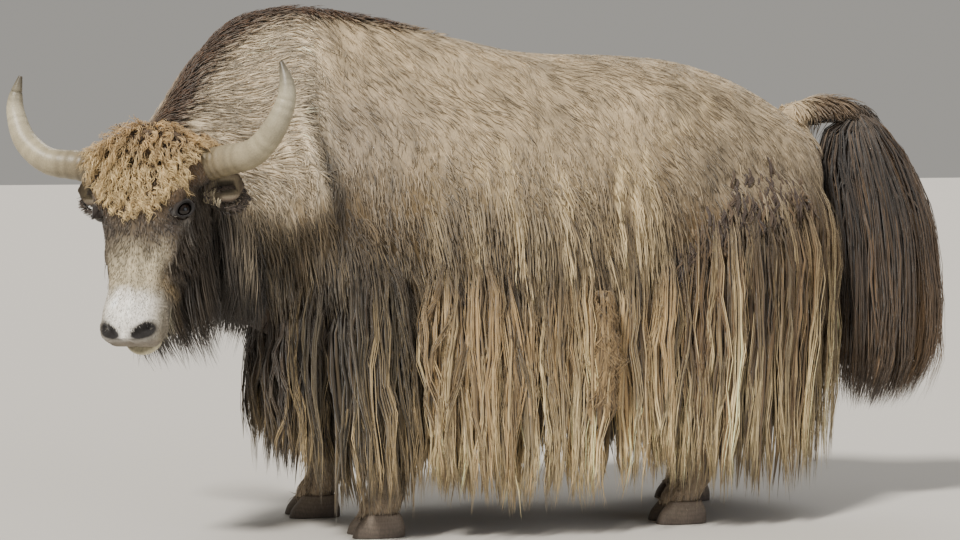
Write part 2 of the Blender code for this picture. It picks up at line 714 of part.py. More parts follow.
def forelock(surface, draw):
    """Rounded curls set close over the forehead and the poll."""
    rows, columns, near, far, half_width = FORELOCK
    made = []
    for i in range(rows):
        for j in range(columns):
            across = (j + 0.25 + 0.5 * (i % 2) + draw.uniform(-LOCK_SPREAD, LOCK_SPREAD)) / columns * 2 - 1
            along = (i + draw.uniform(-LOCK_SPREAD, LOCK_SPREAD)) / (rows - 1)
            along *= 1 - FORELOCK_POINT * across**2
            sideways, distance = half_width * across, near + (far - near) * along
            start = on_head(sideways, distance - FORELOCK_LEAN * (i < rows / 2), FORELOCK_AIM)
            point = cast(surface, start, on_head(sideways, distance, 0) - start)
            turn = Matrix.Rotation(draw.uniform(0, math.pi), 4, "Z")
            tilt = Matrix.Rotation(draw.uniform(-CLUMP_TILT, CLUMP_TILT), 4, "X")
            place = Matrix.Translation(Vector(point)) @ head_matrix().to_3x3().to_4x4() @ turn @ tilt
            size = draw.uniform(*CLUMP_SIZES)
            made.append(ellipsoid("curl", place, [size * r for r in CLUMP], 6, 4))
    return made


def horn(side, extra=0.0):
    """One horn, or the seat that it fits in where extra is added to its size."""
    rows = catmull_rom(HORN, 2)
    start = rows[0] + (rows[0] - rows[1]) * (extra / 0.02)
    path = [on_head(side * x, d, z) for x, d, z, _ in [start, *rows[1:]]]
    return tube("horn", path, rows[:, 3] + extra, HORN_SIDES)


def ear(side, extra=0.0):
    """The outside of one ear, or its seat."""
    way = unit(EAR_WAY)
    face = unit(np.array(EAR_FACE) - np.dot(EAR_FACE, way) * way)
    wide = np.cross(way, face)
    rings = []
    for share, half, deep in catmull_rom(EAR, 2):
        centre = np.array(EAR_ROOT) + (share * EAR_LENGTH + extra * (2 * share - 1)) * way
        ring = []
        for angle in np.arange(EAR_SIDES) * 2 * math.pi / EAR_SIDES:
            p = centre + (half + extra) * math.cos(angle) * wide + (deep + extra) * math.sin(angle) * face
            ring.append(on_head(side * p[0], p[1], p[2]))
        rings.append(ring)
    return loft("ear", rings)


def ear_cup(side):
    """The hollow of one ear."""
    share, lift, long, wide_radius, deep = EAR_CUP
    way = unit(EAR_WAY)
    face = unit(np.array(EAR_FACE) - np.dot(EAR_FACE, way) * way)
    x, d, z = np.array(EAR_ROOT) + share * EAR_LENGTH * way + lift * face
    axes = Matrix([np.array([side, -1, 1]) * axis for axis in (way, np.cross(way, face), face)]).transposed()
    place = head_matrix() @ Matrix.Translation((side * x, -d, z)) @ axes.to_4x4()
    return ellipsoid("cup", place, (long, wide_radius, deep), 10, 6)


def eye(side, extra=0.0):
    """One eyeball, or its socket."""
    x, d, z = EYE
    place = head_matrix() @ Matrix.Translation((side * x, -d, z))
    return ellipsoid("eye", place, [EYE_RADIUS + extra] * 3, 12, 8)


def lids(side):
    """The rim of both eyelids, lying on the eyeball."""
    long, high = LID_OVAL
    centre = np.array(EYE)
    path = []
    for angle in np.linspace(0, 2 * math.pi, 11):
        along, up = long * math.cos(angle), high * math.sin(angle)
        reach = math.sqrt(max(0.0, (EYE_RADIUS + 0.3 * LID) ** 2 - up**2 - min(along**2, 0.00035)))
        path.append(on_head(side * (centre[0] + reach - 0.1 * abs(along)), centre[1] + along, centre[2] + up))
    return ring_tube("lids", path[:-1], LID, 5)


def ring_tube(name, path, radius, sides):
    """A tube closed on itself."""
    path = np.array(path)
    ahead = np.roll(path, -1, axis=0) - np.roll(path, 1, axis=0)
    middle = path.mean(axis=0)

    def build(bm):
        loops = []
        for point, way in zip(path, ahead):
            out = unit(point - middle)
            up = unit(np.cross(way, out))
            out = unit(np.cross(up, way))
            angles = np.arange(sides) * 2 * math.pi / sides
            ring = [point + radius * (math.cos(a) * out + math.sin(a) * up) for a in angles]
            loops.append([bm.verts.new(corner) for corner in ring])
        for low, high in zip(loops, loops[1:] + loops[:1]):
            for i in range(sides):
                j = (i + 1) % sides
                bm.faces.new((low[i], low[j], high[j], high[i]))

    return mesh_object(name, build)


def nostril(side):
    """One slanting nostril."""
    x, d, z = NOSTRIL
    turn = Matrix.Rotation(math.radians(side * NOSTRIL_TURN), 4, "Z")
    place = head_matrix() @ Matrix.Translation((side * x, -d, z)) @ turn
    return ellipsoid("nostril", place, NOSTRIL_RADII, 8, 6)


def mouth(surface):
    """The groove between the lips, around the front of the muzzle."""
    distance, height = MOUTH
    middle = on_head(0, distance, height)
    path = []
    for degrees in np.linspace(-MOUTH_SWEEP, MOUTH_SWEEP, 11):
        angle = math.radians(degrees)
        outside = on_head(0.3 * math.sin(angle), distance + 0.3 * math.cos(angle), height - 0.02 * abs(angle))
        path.append(cast(surface, outside, middle - outside))
    return tube("mouth", path, [MOUTH_GROOVE] * len(path), 5)


def claws(side, foot):
    """Both claws of one foot, with flat soles on the ground."""
    x, y, _, *_ = (FORELEG if foot == "fore" else HINDLEG)[-1]
    y += STEP[f"{foot}_{'left' if side > 0 else 'right'}"] * stance(0)
    made = []
    for place in (-1, 1):
        rings = []
        for z, front, back, half in CLAW:
            middle = (side * x + place * CLAW_APART, y, z)
            sideways, ahead = np.array([1, 0, 0]), np.array([0, -1, 0])
            rings.append(section(middle, sideways, ahead, half, front, back, 2.4, 2.6, 10))
        made.append(loft("claw", rings))
    return made


def finish_head(head, draw):
    """Adds hair and lids to the head, cuts nostrils and mouth, and returns what sits in its sockets."""
    graph = bpy.context.evaluated_depsgraph_get()
    surface = BVHTree.FromObject(head, graph)
    width, thick = BEARD_LOCK
    added = [lids(-1), lids(1)]
    for side in (-1, 1):
        for i, root in enumerate(beard_roots(surface, side)):
            added.append(lock(root, BEARD_BULGES[i % 2], width, thick, i))
    added += forelock(surface, draw)
    mouth_groove = mouth(surface)
    boolean(head, added, "UNION")
    seats = [piece(side, GAP) for piece in (horn, ear, eye) for side in (-1, 1)]
    behind = [box("behind", *NECK_BEHIND, seam_matrix()), box("behind", *JAW_BEHIND, head_matrix())]
    boolean(head, [*seats, mouth_groove, nostril(-1), nostril(1), *behind], "DIFFERENCE")
    made = {}
    for side, name in SIDES:
        made[f"horn_{name}"] = horn(side)
        made[f"eye_{name}"] = eye(side)
        made[f"ear_{name}"] = ear(side)
        boolean(made[f"ear_{name}"], [ear_cup(side)], "DIFFERENCE")
    return made


def material(name):
    """A plain material for one stuff."""
    colour, roughness = COLOURS[name]
    made = bpy.data.materials.new(name)
    made.use_nodes = True
    shader = made.node_tree.nodes["Principled BSDF"]
    shader.inputs["Base Color"].default_value = (*colour, 1)
    shader.inputs["Roughness"].default_value = roughness
    return made


def main():
    for obj in list(bpy.data.objects):
        bpy.data.objects.remove(obj)
    draw = random.Random(SEED)
    nodes = part_flesh(whole_flesh())
    for side, name in SIDES:
        for part, form in CURTAINS.items():
            step = FOLLOW * STEP[f"{STEPS_WITH[part]}_{name}"] if part in STEPS_WITH else 0.0
            node = nodes["neck" if part == "neck" else f"{part}_{name}"]
            surface = BVHTree.FromObject(node, bpy.context.evaluated_depsgraph_get())
            sized = {**form, "rows": mirror_rows(form["rows"], side)}
            boolean(node, curtain(surface, draw=draw, step=step, **sized), "UNION")
        for foot in ("fore", "hind"):
            for place, claw in zip(("right", "left"), claws(side, foot)):
                nodes[f"claw_{foot}_{name}_{place}"] = claw
    surface = BVHTree.FromObject(nodes["tail_switch"], bpy.context.evaluated_depsgraph_get())
    boolean(nodes["tail_switch"], switch_locks(surface, draw), "UNION")
    nodes.update(finish_head(nodes["head"], draw))
    yak = bpy.data.collections.new("yak")
    bpy.context.scene.collection.children.link(yak)
    stuffs = {name: material(name) for name in COLOURS}
    for name, node in nodes.items():
        keep_largest(node)
        node.name = name
        node.data.transform(Matrix.Translation((*ORIGIN_SHIFT, 0)))
        part = name.split("_")[0]
        node.data.materials.clear()
        node.data.materials.append(stuffs[STUFF.get(part, "coat")])
        bpy.context.scene.collection.objects.unlink(node)
        yak.objects.link(node)


main()
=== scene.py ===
# A yak bull, life size, standing with its head low and turned to its left.

import json
import math

import bpy
import numpy as np
from mathutils import Matrix, Vector
from mathutils.bvhtree import BVHTree

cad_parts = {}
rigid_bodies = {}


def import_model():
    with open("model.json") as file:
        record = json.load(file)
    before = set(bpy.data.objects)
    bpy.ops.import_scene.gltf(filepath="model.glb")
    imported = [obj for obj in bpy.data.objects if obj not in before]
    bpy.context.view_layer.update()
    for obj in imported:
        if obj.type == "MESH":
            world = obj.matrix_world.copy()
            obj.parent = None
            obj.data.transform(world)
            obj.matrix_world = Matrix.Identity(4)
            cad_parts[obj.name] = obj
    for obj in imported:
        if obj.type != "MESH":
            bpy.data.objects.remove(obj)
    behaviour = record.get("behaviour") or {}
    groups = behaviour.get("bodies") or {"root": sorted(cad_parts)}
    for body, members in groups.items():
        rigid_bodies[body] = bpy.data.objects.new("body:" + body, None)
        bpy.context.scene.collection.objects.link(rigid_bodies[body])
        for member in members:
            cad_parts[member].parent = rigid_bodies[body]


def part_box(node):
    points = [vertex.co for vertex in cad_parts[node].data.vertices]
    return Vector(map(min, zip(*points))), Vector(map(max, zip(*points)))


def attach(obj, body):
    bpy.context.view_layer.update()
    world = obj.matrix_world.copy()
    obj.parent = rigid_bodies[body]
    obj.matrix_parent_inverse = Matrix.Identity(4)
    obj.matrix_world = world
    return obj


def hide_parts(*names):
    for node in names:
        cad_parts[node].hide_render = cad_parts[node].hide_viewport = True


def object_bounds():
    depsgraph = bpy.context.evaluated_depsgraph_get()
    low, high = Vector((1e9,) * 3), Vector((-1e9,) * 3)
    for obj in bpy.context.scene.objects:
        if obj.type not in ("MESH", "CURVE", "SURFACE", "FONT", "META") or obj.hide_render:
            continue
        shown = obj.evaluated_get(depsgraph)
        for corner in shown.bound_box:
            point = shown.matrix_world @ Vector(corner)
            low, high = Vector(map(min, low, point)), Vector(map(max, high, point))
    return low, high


for old in list(bpy.data.objects):
    bpy.data.objects.remove(old)
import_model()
cadBox = [[float(value) for value in corner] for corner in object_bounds()]
print("stage: frame loaded")


# Sizes of the animal, in metres. Its own trunk is the middle, it faces -Y and its left is +X.

trunk = {  # y, height of the widest line, reach above, reach below, half width, roundness above and below
    "rows": [
        (0.800, 0.900, 0.060, 0.090, 0.060, 2.0, 2.0),
        (0.765, 0.905, 0.135, 0.170, 0.150, 2.0, 2.0),
        (0.680, 0.915, 0.195, 0.240, 0.225, 1.9, 2.0),
        (0.540, 0.920, 0.270, 0.300, 0.275, 1.8, 2.1),
        (0.370, 0.900, 0.343, 0.340, 0.315, 1.8, 2.2),
        (0.170, 0.860, 0.400, 0.370, 0.350, 1.8, 2.3),
        (-0.050, 0.840, 0.425, 0.380, 0.360, 1.75, 2.3),
        (-0.250, 0.840, 0.465, 0.380, 0.345, 1.65, 2.2),
        (-0.450, 0.850, 0.500, 0.370, 0.310, 1.55, 2.1),
        (-0.620, 0.870, 0.508, 0.380, 0.285, 1.5, 2.0),
        (-0.740, 0.880, 0.488, 0.375, 0.245, 1.55, 2.0),
    ],
    "coatDepth": 0.011,
}
neck = {  # x, y, height, yaw, pitch, reach above, reach below, half width, roundness above and below
    "rows": [
        (0.015, -0.820, 0.880, 8, 3, 0.455, 0.350, 0.215, 1.6, 2.0),
        (0.055, -0.895, 0.870, 20, 8, 0.370, 0.330, 0.190, 1.7, 2.0),
        (0.105, -0.955, 0.865, 32, 18, 0.265, 0.290, 0.168, 1.8, 2.0),
        (0.155, -1.010, 0.870, 42, 34, 0.185, 0.220, 0.140, 1.9, 2.0),
    ],
}
head = {
    "poll": (0.204, -1.066, 0.985),
    "yaw": 49.0,
    "pitch": 69.0,
    "tilt": 2.5,
    "rows": [  # distance from the poll, centre height, reach above, reach below, half width, roundness
        (-0.050, -0.030, 0.050, 0.080, 0.085, 2.0),
        (0.000, -0.020, 0.070, 0.120, 0.128, 2.2),
        (0.080, -0.020, 0.085, 0.152, 0.134, 2.3),
        (0.150, -0.020, 0.078, 0.160, 0.133, 2.3),
        (0.215, -0.020, 0.062, 0.150, 0.112, 2.3),
        (0.285, -0.022, 0.050, 0.130, 0.092, 2.3),
        (0.345, -0.024, 0.044, 0.106, 0.084, 2.4),
        (0.400, -0.026, 0.044, 0.082, 0.090, 2.5),
        (0.445, -0.030, 0.044, 0.068, 0.091, 2.6),
        (0.478, -0.032, 0.032, 0.042, 0.070, 2.6),
    ],
    "bulges": [  # sideways, distance, height, three radii: brow, cheek, horn seat, nose, cheekbone
        (0.112, 0.128, 0.036, 0.030, 0.045, 0.026),
        (0.082, 0.170, -0.088, 0.038, 0.100, 0.075),
        (0.120, 0.032, 0.000, 0.070, 0.055, 0.056),
        (0.052, 0.440, -0.020, 0.044, 0.040, 0.036),
        (0.088, 0.215, -0.012, 0.022, 0.075, 0.020),
    ],
    "poll bulge": (0, -0.010, 0.035, 0.125, 0.055, 0.045),
    "chin bulge": (0, 0.446, -0.088, 0.058, 0.048, 0.028),
    "nostril": (0.052, 0.453, -0.001),
    "nostrilWay": np.array((0.930, -0.210, 0.302)),
    "nostrilSize": (0.0440, 0.0190),  # half length and half width
    "mouth": (0.385, -0.066),
}
legs = {  # x, y, z, half width, reach forwards, reach backwards, from the top down, for the left side
    "fore": [
        (0.190, -0.60, 0.960, 0.090, 0.150, 0.160),
        (0.212, -0.60, 0.800, 0.105, 0.150, 0.170),
        (0.212, -0.575, 0.640, 0.095, 0.115, 0.135),
        (0.198, -0.545, 0.520, 0.072, 0.080, 0.088),
        (0.186, -0.530, 0.420, 0.055, 0.060, 0.062),
        (0.180, -0.528, 0.340, 0.052, 0.056, 0.052),
        (0.176, -0.525, 0.290, 0.044, 0.048, 0.045),
        (0.175, -0.520, 0.220, 0.038, 0.038, 0.042),
        (0.175, -0.520, 0.150, 0.040, 0.040, 0.046),
        (0.175, -0.525, 0.110, 0.050, 0.050, 0.056),
        (0.175, -0.538, 0.075, 0.054, 0.060, 0.052),
        (0.175, -0.545, 0.048, 0.050, 0.056, 0.046),
    ],
    "hind": [
        (0.120, 0.490, 1.000, 0.100, 0.150, 0.150),
        (0.205, 0.480, 0.880, 0.125, 0.215, 0.215),
        (0.222, 0.460, 0.750, 0.120, 0.205, 0.200),
        (0.215, 0.430, 0.620, 0.095, 0.150, 0.150),
        (0.198, 0.430, 0.500, 0.066, 0.090, 0.100),
        (0.186, 0.455, 0.410, 0.050, 0.060, 0.075),
        (0.180, 0.465, 0.350, 0.045, 0.052, 0.062),
        (0.176, 0.450, 0.280, 0.038, 0.042, 0.048),
        (0.175, 0.430, 0.190, 0.038, 0.040, 0.044),
        (0.175, 0.412, 0.120, 0.050, 0.050, 0.056),
        (0.175, 0.392, 0.080, 0.055, 0.060, 0.052),
        (0.175, 0.382, 0.048, 0.051, 0.058, 0.046),
    ],
    "steps": {("fore", 1): 0.060, ("fore", -1): -0.040, ("hind", 1): -0.040, ("hind", -1): 0.100},
    "top": 0.75,
    "coatDepth": 0.004,  # the head's too
}
dock = {  # y, z, half width, reach above, reach below
    "rows": [
        (0.700, 1.078, 0.050, 0.045, 0.050),
        (0.780, 1.103, 0.045, 0.042, 0.044),
        (0.860, 1.106, 0.040, 0.040, 0.038),
        (0.930, 1.080, 0.038, 0.040, 0.036),
        (0.975, 1.010, 0.036, 0.040, 0.036),
        (0.995, 0.925, 0.032, 0.036, 0.034),
        (1.003, 0.840, 0.024, 0.028, 0.026),
    ],
}
skin = {"voxel": 0.0040, "smoothRounds": 5, "triangles": 185000}


def smoothRows(rows, steps):
    # the rows with a number of steps between neighbours, on a smooth curve through all of them
    p = np.array(rows, float)
    p = np.vstack([2 * p[0] - p[1], p, 2 * p[-1] - p[-2]])
    out = []
    for a, b, c, d in zip(p, p[1:], p[2:], p[3:]):
        for t in np.arange(steps) / steps:
            out.append(b + 0.5 * t * (c - a + t * (2 * a - 5 * b + 4 * c - d + t * (3 * (b - c) + d - a))))
    return np.array([*out, p[-2]])


def unit(v):
    v = np.asarray(v, float)
    return v / np.maximum(np.linalg.norm(v, axis=-1, keepdims=True), 1e-9)


def fade(value, start, end):
    # 0 at start, 1 at end, smooth between
    t = np.clip((np.asarray(value, float) - start) / (end - start), 0, 1)
    return t * t * (3 - 2 * t)


headMatrix = (
    Matrix.Translation(head["poll"])
    @ Matrix.Rotation(math.radians(head["yaw"]), 4, "Z")
    @ Matrix.Rotation(math.radians(head["pitch"]), 4, "X")
    @ Matrix.Rotation(math.radians(head["tilt"]), 4, "Z")
)
headTurn = np.array(headMatrix.to_3x3())


def onHead(points):
    # sideways to the left, distance from the poll, height above the head's line -> the row
    p = np.asarray(points, float) * (1, -1, 1)
    return p @ headTurn.T + np.array(head["poll"])


def inHead(points):
    return (np.asarray(points, float) - np.array(head["poll"])) @ headTurn * (1, -1, 1)


eyes = {
    "place": (0.117, 0.150, 0.012),
    "ballRadius": 0.0235,
    "axis": (0.80, 0.02, 0.60),  # the way it looks out of the head
    "slant": 45.0,  # degrees between the slit and the head's length
    "opening": (0.0225, 0.0155),  # half the length and half the height between the lids
    "lids": [  # share of the opening, height over the eyeball
        (0.90, -0.0035),
        (0.96, 0.0006),
        (1.04, 0.0022),
        (1.18, 0.0030),
        (1.36, 0.0020),
        (1.48, 0.0016),
        (1.60, 0.0026),
        (1.85, 0.0028),
        (2.15, 0.0020),
        (2.45, 0.0000),
    ],
    "lidSides": 64,
    "onSkin": (1.20, 1.75),  # shares between which the lids pass over into the skin
    "colours": ("#1a120e", "#140d0a", "#0b0807", "#1d1714"),
}
eyeLow, eyeHigh = (np.array(corner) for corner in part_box("eye_left"))
rowShift = (eyeLow + eyeHigh) / 2 - onHead(eyes["place"])
rowShift[2] = 0
sideNames = {1: "left", -1: "right"}
oneTurn = 6.28  # radians, the range of a random phase
draw = np.random.default_rng(11)


def section(centre, side, up, half, above, below, roundAbove=2.0, roundBelow=2.0, sides=40):
    angle = np.arange(sides) * 2 * math.pi / sides
    c, s = np.cos(angle), np.sin(angle)
    power = 2 / np.where(s > 0, roundAbove, roundBelow)
    across = half * np.sign(c) * np.abs(c) ** power
    along = np.where(s > 0, above, below) * np.sign(s) * np.abs(s) ** power
    return np.asarray(centre) + across[:, None] * np.asarray(side) + along[:, None] * np.asarray(up)


def bands(count, sides):
    # triangles between neighbouring rings of equally many points
    i = np.arange(sides)
    j = (i + 1) % sides
    faces = []
    for k in range(count - 1):
        a, b = k * sides, (k + 1) * sides
        faces += [np.stack([a + i, a + j, b + j], 1), np.stack([a + i, b + j, b + i], 1)]
    return faces


def loft(rings):
    # points and triangles of a closed body through rings
    rings = np.array(rings, float)
    count, sides = rings.shape[:2]
    points = np.vstack([rings.reshape(-1, 3), rings[0].mean(0), rings[-1].mean(0)])
    faces = bands(count, sides)
    i = np.arange(sides)
    j = (i + 1) % sides
    last = (count - 1) * sides
    faces.append(np.stack([j, i, np.full(sides, count * sides)], 1))
    faces.append(np.stack([last + i, last + j, np.full(sides, count * sides + 1)], 1))
    return points, np.vstack(faces)


def ball(place, radii):
    # points and triangles of an ellipsoid on the head
    around, rings, atPole = 24, 16, 0.04
    turn = np.arange(around) * 2 * math.pi / around
    rows = []
    for a in np.linspace(atPole, math.pi - atPole, rings):
        row = np.stack([np.sin(a) * np.cos(turn), np.sin(a) * np.sin(turn), np.full(around, np.cos(a))], 1)
        rows.append(onHead(np.array(place) + row * radii))
    return loft(rows)


def joinShapes(shapes):
    points, faces, count = [], [], 0
    for p, f in shapes:
        points.append(p)
        faces.append(f + count)
        count += len(p)
    return np.vstack(points), np.vstack(faces)


def makeMesh(name, points, faces):
    # an object in the row frame from triangles in the trunk's
    name = name.replace(" ", "_")
    mesh = bpy.data.meshes.new(name)
    mesh.vertices.add(len(points))
    mesh.vertices.foreach_set("co", (points + rowShift).astype(np.float32).ravel())
    mesh.loops.add(3 * len(faces))
    mesh.loops.foreach_set("vertex_index", faces.astype(np.int32).ravel())
    mesh.polygons.add(len(faces))
    mesh.polygons.foreach_set("loop_start", np.arange(len(faces), dtype=np.int32) * 3)
    mesh.polygons.foreach_set("use_smooth", np.ones(len(faces), bool))
    mesh.update(calc_edges=True)
    obj = bpy.data.objects.new(name, mesh)
    bpy.context.scene.collection.objects.link(obj)
    return obj


def paint(obj, colours):
    layer = obj.data.color_attributes.new("tint", "FLOAT_COLOR", "POINT")
    full = np.ones((len(obj.data.vertices), 4), np.float32)
    full[:, :3] = colours
    layer.data.foreach_set("color", full.ravel())


# Colours as they look on the animal, in sRGB

coatColours = {
    "back": "#ac997a",
    "flank": "#675538",
    "shoulder": "#928472",
    # neck: pale hair, brightened further as painted light on the hump
    "neck": "#dac8a9",
    "crest": "#2c1b0b",
    "crestTips": "#7d4f2a",
    "streak": "#ccb78d",
    "skirt": "#ae9164",
    "skirtTips": "#fae2ac",
    # skirtDarkAndShade: dark brown of the locks, used also as painted shade in the inner locks and strands
    "skirtDarkAndShade": "#36260f",
    "thigh": "#6e5738",
    "curl": "#38281b",
    "haunch": "#85765f",
    # chest and throat: dark brown hair, darkened further with painted shadow of the head over throat and
    # chest
    "chest": "#1c1610",
    "belly": "#4c3b2c",
    "legs": "#84735f",
    "hocks": "#a3927b",
    "face": "#5b4e3e",
    "brow": "#3a3028",
    "eyeRing": "#241d19",
    "lowerLid": "#a09a90",
    # cheek: brown hair, darkened further as painted shade on the lower side of the face
    "bridge": "#c4b799",
    "cheek": "#3f3528",
    "cheekTuft": "#a8926b",
    "muzzle": "#fbf7ee",
    "muzzleSide": "#948b79",
    "nosePad": "#6d645d",
    # nostril: near black, painted shade in and round the nostrils; also the dark margins of the lids and
    # painted shade at the bottom of the ear's cup
    "nostril": "#120d0c",
    "lips": "#2c2521",
    "chin": "#d8cfae",
    "forelock": "#e9cc94",
    "forelockTop": "#c29b66",
    "forelockDeep": "#67523a",
    "tail": "#1b1613",
    "tailTips": "#6f573b",
    "dock": "#6f5d49",
    # throat: dark brown hair, darkened further with painted shadow of the head
    "throat": "#1c1510",
    "ear": "#4a3d32",
    # forelegHair: olive-brown hair, darkened further as painted shadow of the head
    "forelegHair": "#463d28",
    "forelegTips": "#c3aa7c",
}


def linear(hexColour):
    value = np.array([int(hexColour[i : i + 2], 16) / 255 for i in (1, 3, 5)])
    return np.where(value <= 0.04045, value / 12.92, ((value + 0.055) / 1.055) ** 2.4)


hue = {name: linear(value) for name, value in coatColours.items()}


def between(start, name, share):
    # from some colours to a named one, the share shaped to fit them
    return start * (1 - share) + hue[name] * share


def layered(colours, *layers):
    # named colours laid over others one after the other, each with its share at every point
    for name, share in layers:
        colours = between(colours, name, np.asarray(share)[:, None])
    return colours


lattice = draw.random((32, 32, 32))


def softNoise(points, size):
    # smooth random values from 0 to 1, size is the spacing along x, y and z
    p = np.asarray(points) / np.array(size) + 100
    low = np.floor(p).astype(int)
    f = p - low
    f = f * f * (3 - 2 * f)
    total = 0
    for corner in np.ndindex(2, 2, 2):
        share = np.prod(np.where(corner, f, 1 - f), axis=1)
        i, j, k = ((low + corner) % 32).T
        total = total + share * lattice[i, j, k]
    return total


def near(q, place, radii):
    # 1 at the place, falling to nothing over the radii
    return np.exp(-(((q - np.array(place)) / np.array(radii)) ** 2).sum(1))


def folded(points):
    # the right half laid over the left one
    return np.stack([np.abs(points[:, 0]), points[:, 1], points[:, 2]], 1)


def bell(value, reach, power=2):
    # 1 at zero, falling to nothing over the reach on both sides
    return np.exp(-((value / reach) ** power))


def isHead(points):
    # share of belonging to the head, from 0 on the neck to 1
    q = inHead(points)
    seam = (q[:, 1] + 0.075) * 0.731 + (q[:, 2] - 0.020) * 0.682
    return fade(seam, -0.02, 0.03) * fade(q[:, 2], -0.235, -0.195) * (np.abs(q[:, 0]) < 0.32)


def nostrilShape(q):
    # 1 in the middle of a nostril: a comma that slants up and outwards and is widest at its outer end
    away = folded(q) - np.array(head["nostril"])
    length = away @ head["nostrilWay"]
    rest = np.linalg.norm(away - length[:, None] * head["nostrilWay"], axis=1)
    reach, wide = head["nostrilSize"]
    return np.exp(-((length / reach) ** 4) - (rest / (wide * (1 + np.clip(10 * length, -0.3, 0.3)))) ** 2)


def mouthLine(q):
    # height of the line between the lips, which rises towards its corner
    return head["mouth"][1] + 0.16 * np.clip(0.43 - q[:, 1], -0.02, 0.1)


def onCrest(points):
    # 1 on the dark ridge over hump and neck, which gets wider towards the poll
    x, y, z = points.T
    wide = 0.042 + 0.026 * fade(-y, 0.60, 0.90)
    middle = np.interp(-y, (0.78, 0.895, 0.955, 1.010, 1.066), (0.0, 0.040, 0.085, 0.140, 0.195))
    return bell(x - middle, wide, 4) * fade(-y, 0.26, 0.46) * fade(z, 0.94, 1.04)


def bodyMarkings(points, fine):
    x, y, z = points.T
    broad = softNoise(points, (0.25, 0.16, 0.30)) - 0.5
    streaks = softNoise(points, (0.05, 0.022, 0.16)) - 0.5
    lit = fade(streaks + 0.4 * fine, 0.05, 0.3) * fade(1.12 - z, 0, 0.25) * fade(y, -0.42, -0.25)
    # the line of the hip: golden streaks in front of it, brightened as painted highlight, and painted shade
    # just behind it
    hip = np.interp(z, (0.70, 0.78, 1.00, 1.14), (0.13, 0.17, 0.22, 0.43))
    hipHair = bell(y - hip + 0.02, 0.035) * fade(z, 0.72, 0.84) * fade(1.17 - z, 0, 0.06)
    hipShade = bell(y - hip - 0.035, 0.020) * fade(z, 0.72, 0.84) * (z < 1.15)
    # folds: painted shade along the creases of the neck, over the folds carved into the skin
    folds = bell(y + 0.655 + 0.05 * np.sin(6 * z), 0.022) * fade(z, 0.60, 0.85) * fade(1.2 - z, 0, 0.1)
    tail = fade(y, 0.74, 0.80) * (z > 0.8)
    colours = layered(
        np.tile(hue["back"], (len(points), 1)),
        ("shoulder", 0.7 * fade(-y, 0.25, 0.6) * fade(1.25 - z, 0, 0.2)),
        # pale hair of neck and hump, partly painted light
        ("neck", 0.95 * fade(-y, 0.58, 0.68)),
        ("flank", 0.90 * fade(1.02 + 0.2 * broad + 0.2 * streaks - z, 0, 0.25)),
        ("streak", 0.85 * lit * fade(0.35 - y, -0.1, 0.2)),
        ("haunch", 0.75 * fade(y, 0.16, 0.34) * fade(1.12 - z, 0, 0.16)),
        ("thigh", 0.7 * fade(y, 0.2, 0.35) * fade(0.90 - z, -0.02, 0.1)),
        # chest and throat: dark hair, deepened with painted shadow of the head
        ("chest", 0.8 * fade(-y, 0.36, 0.50) * fade(0.88 - z, 0, 0.22)),
        ("belly", fade(0.62 - z, 0, 0.08) * (z > 0.44)),
        ("throat", 0.85 * fade(-y, 0.72, 0.85) * fade(0.90 - z, 0, 0.16)),
        # golden streaks with painted highlight in front of the hip line, painted shade behind it
        ("streak", 0.6 * hipHair * fade(streaks, -0.15, 0.2)),
        ("flank", 0.6 * hipShade),
        # painted shade in the folds of the neck
        ("throat", 0.65 * folds),
        ("crest", 0.95 * onCrest(points)),
        ("legs", fade(0.48 - z, 0, 0.1)),
        ("hocks", 0.6 * fade(0.2 - z, 0, 0.12)),
        ("dock", tail),
        ("tail", tail * np.maximum(fade(1.10 - z, 0, 0.03), 0.7 * fade(y, 0.84, 0.95))),
    )
    return colours * (1 + 0.35 * broad + 0.70 * streaks + 0.75 * fine)[:, None]


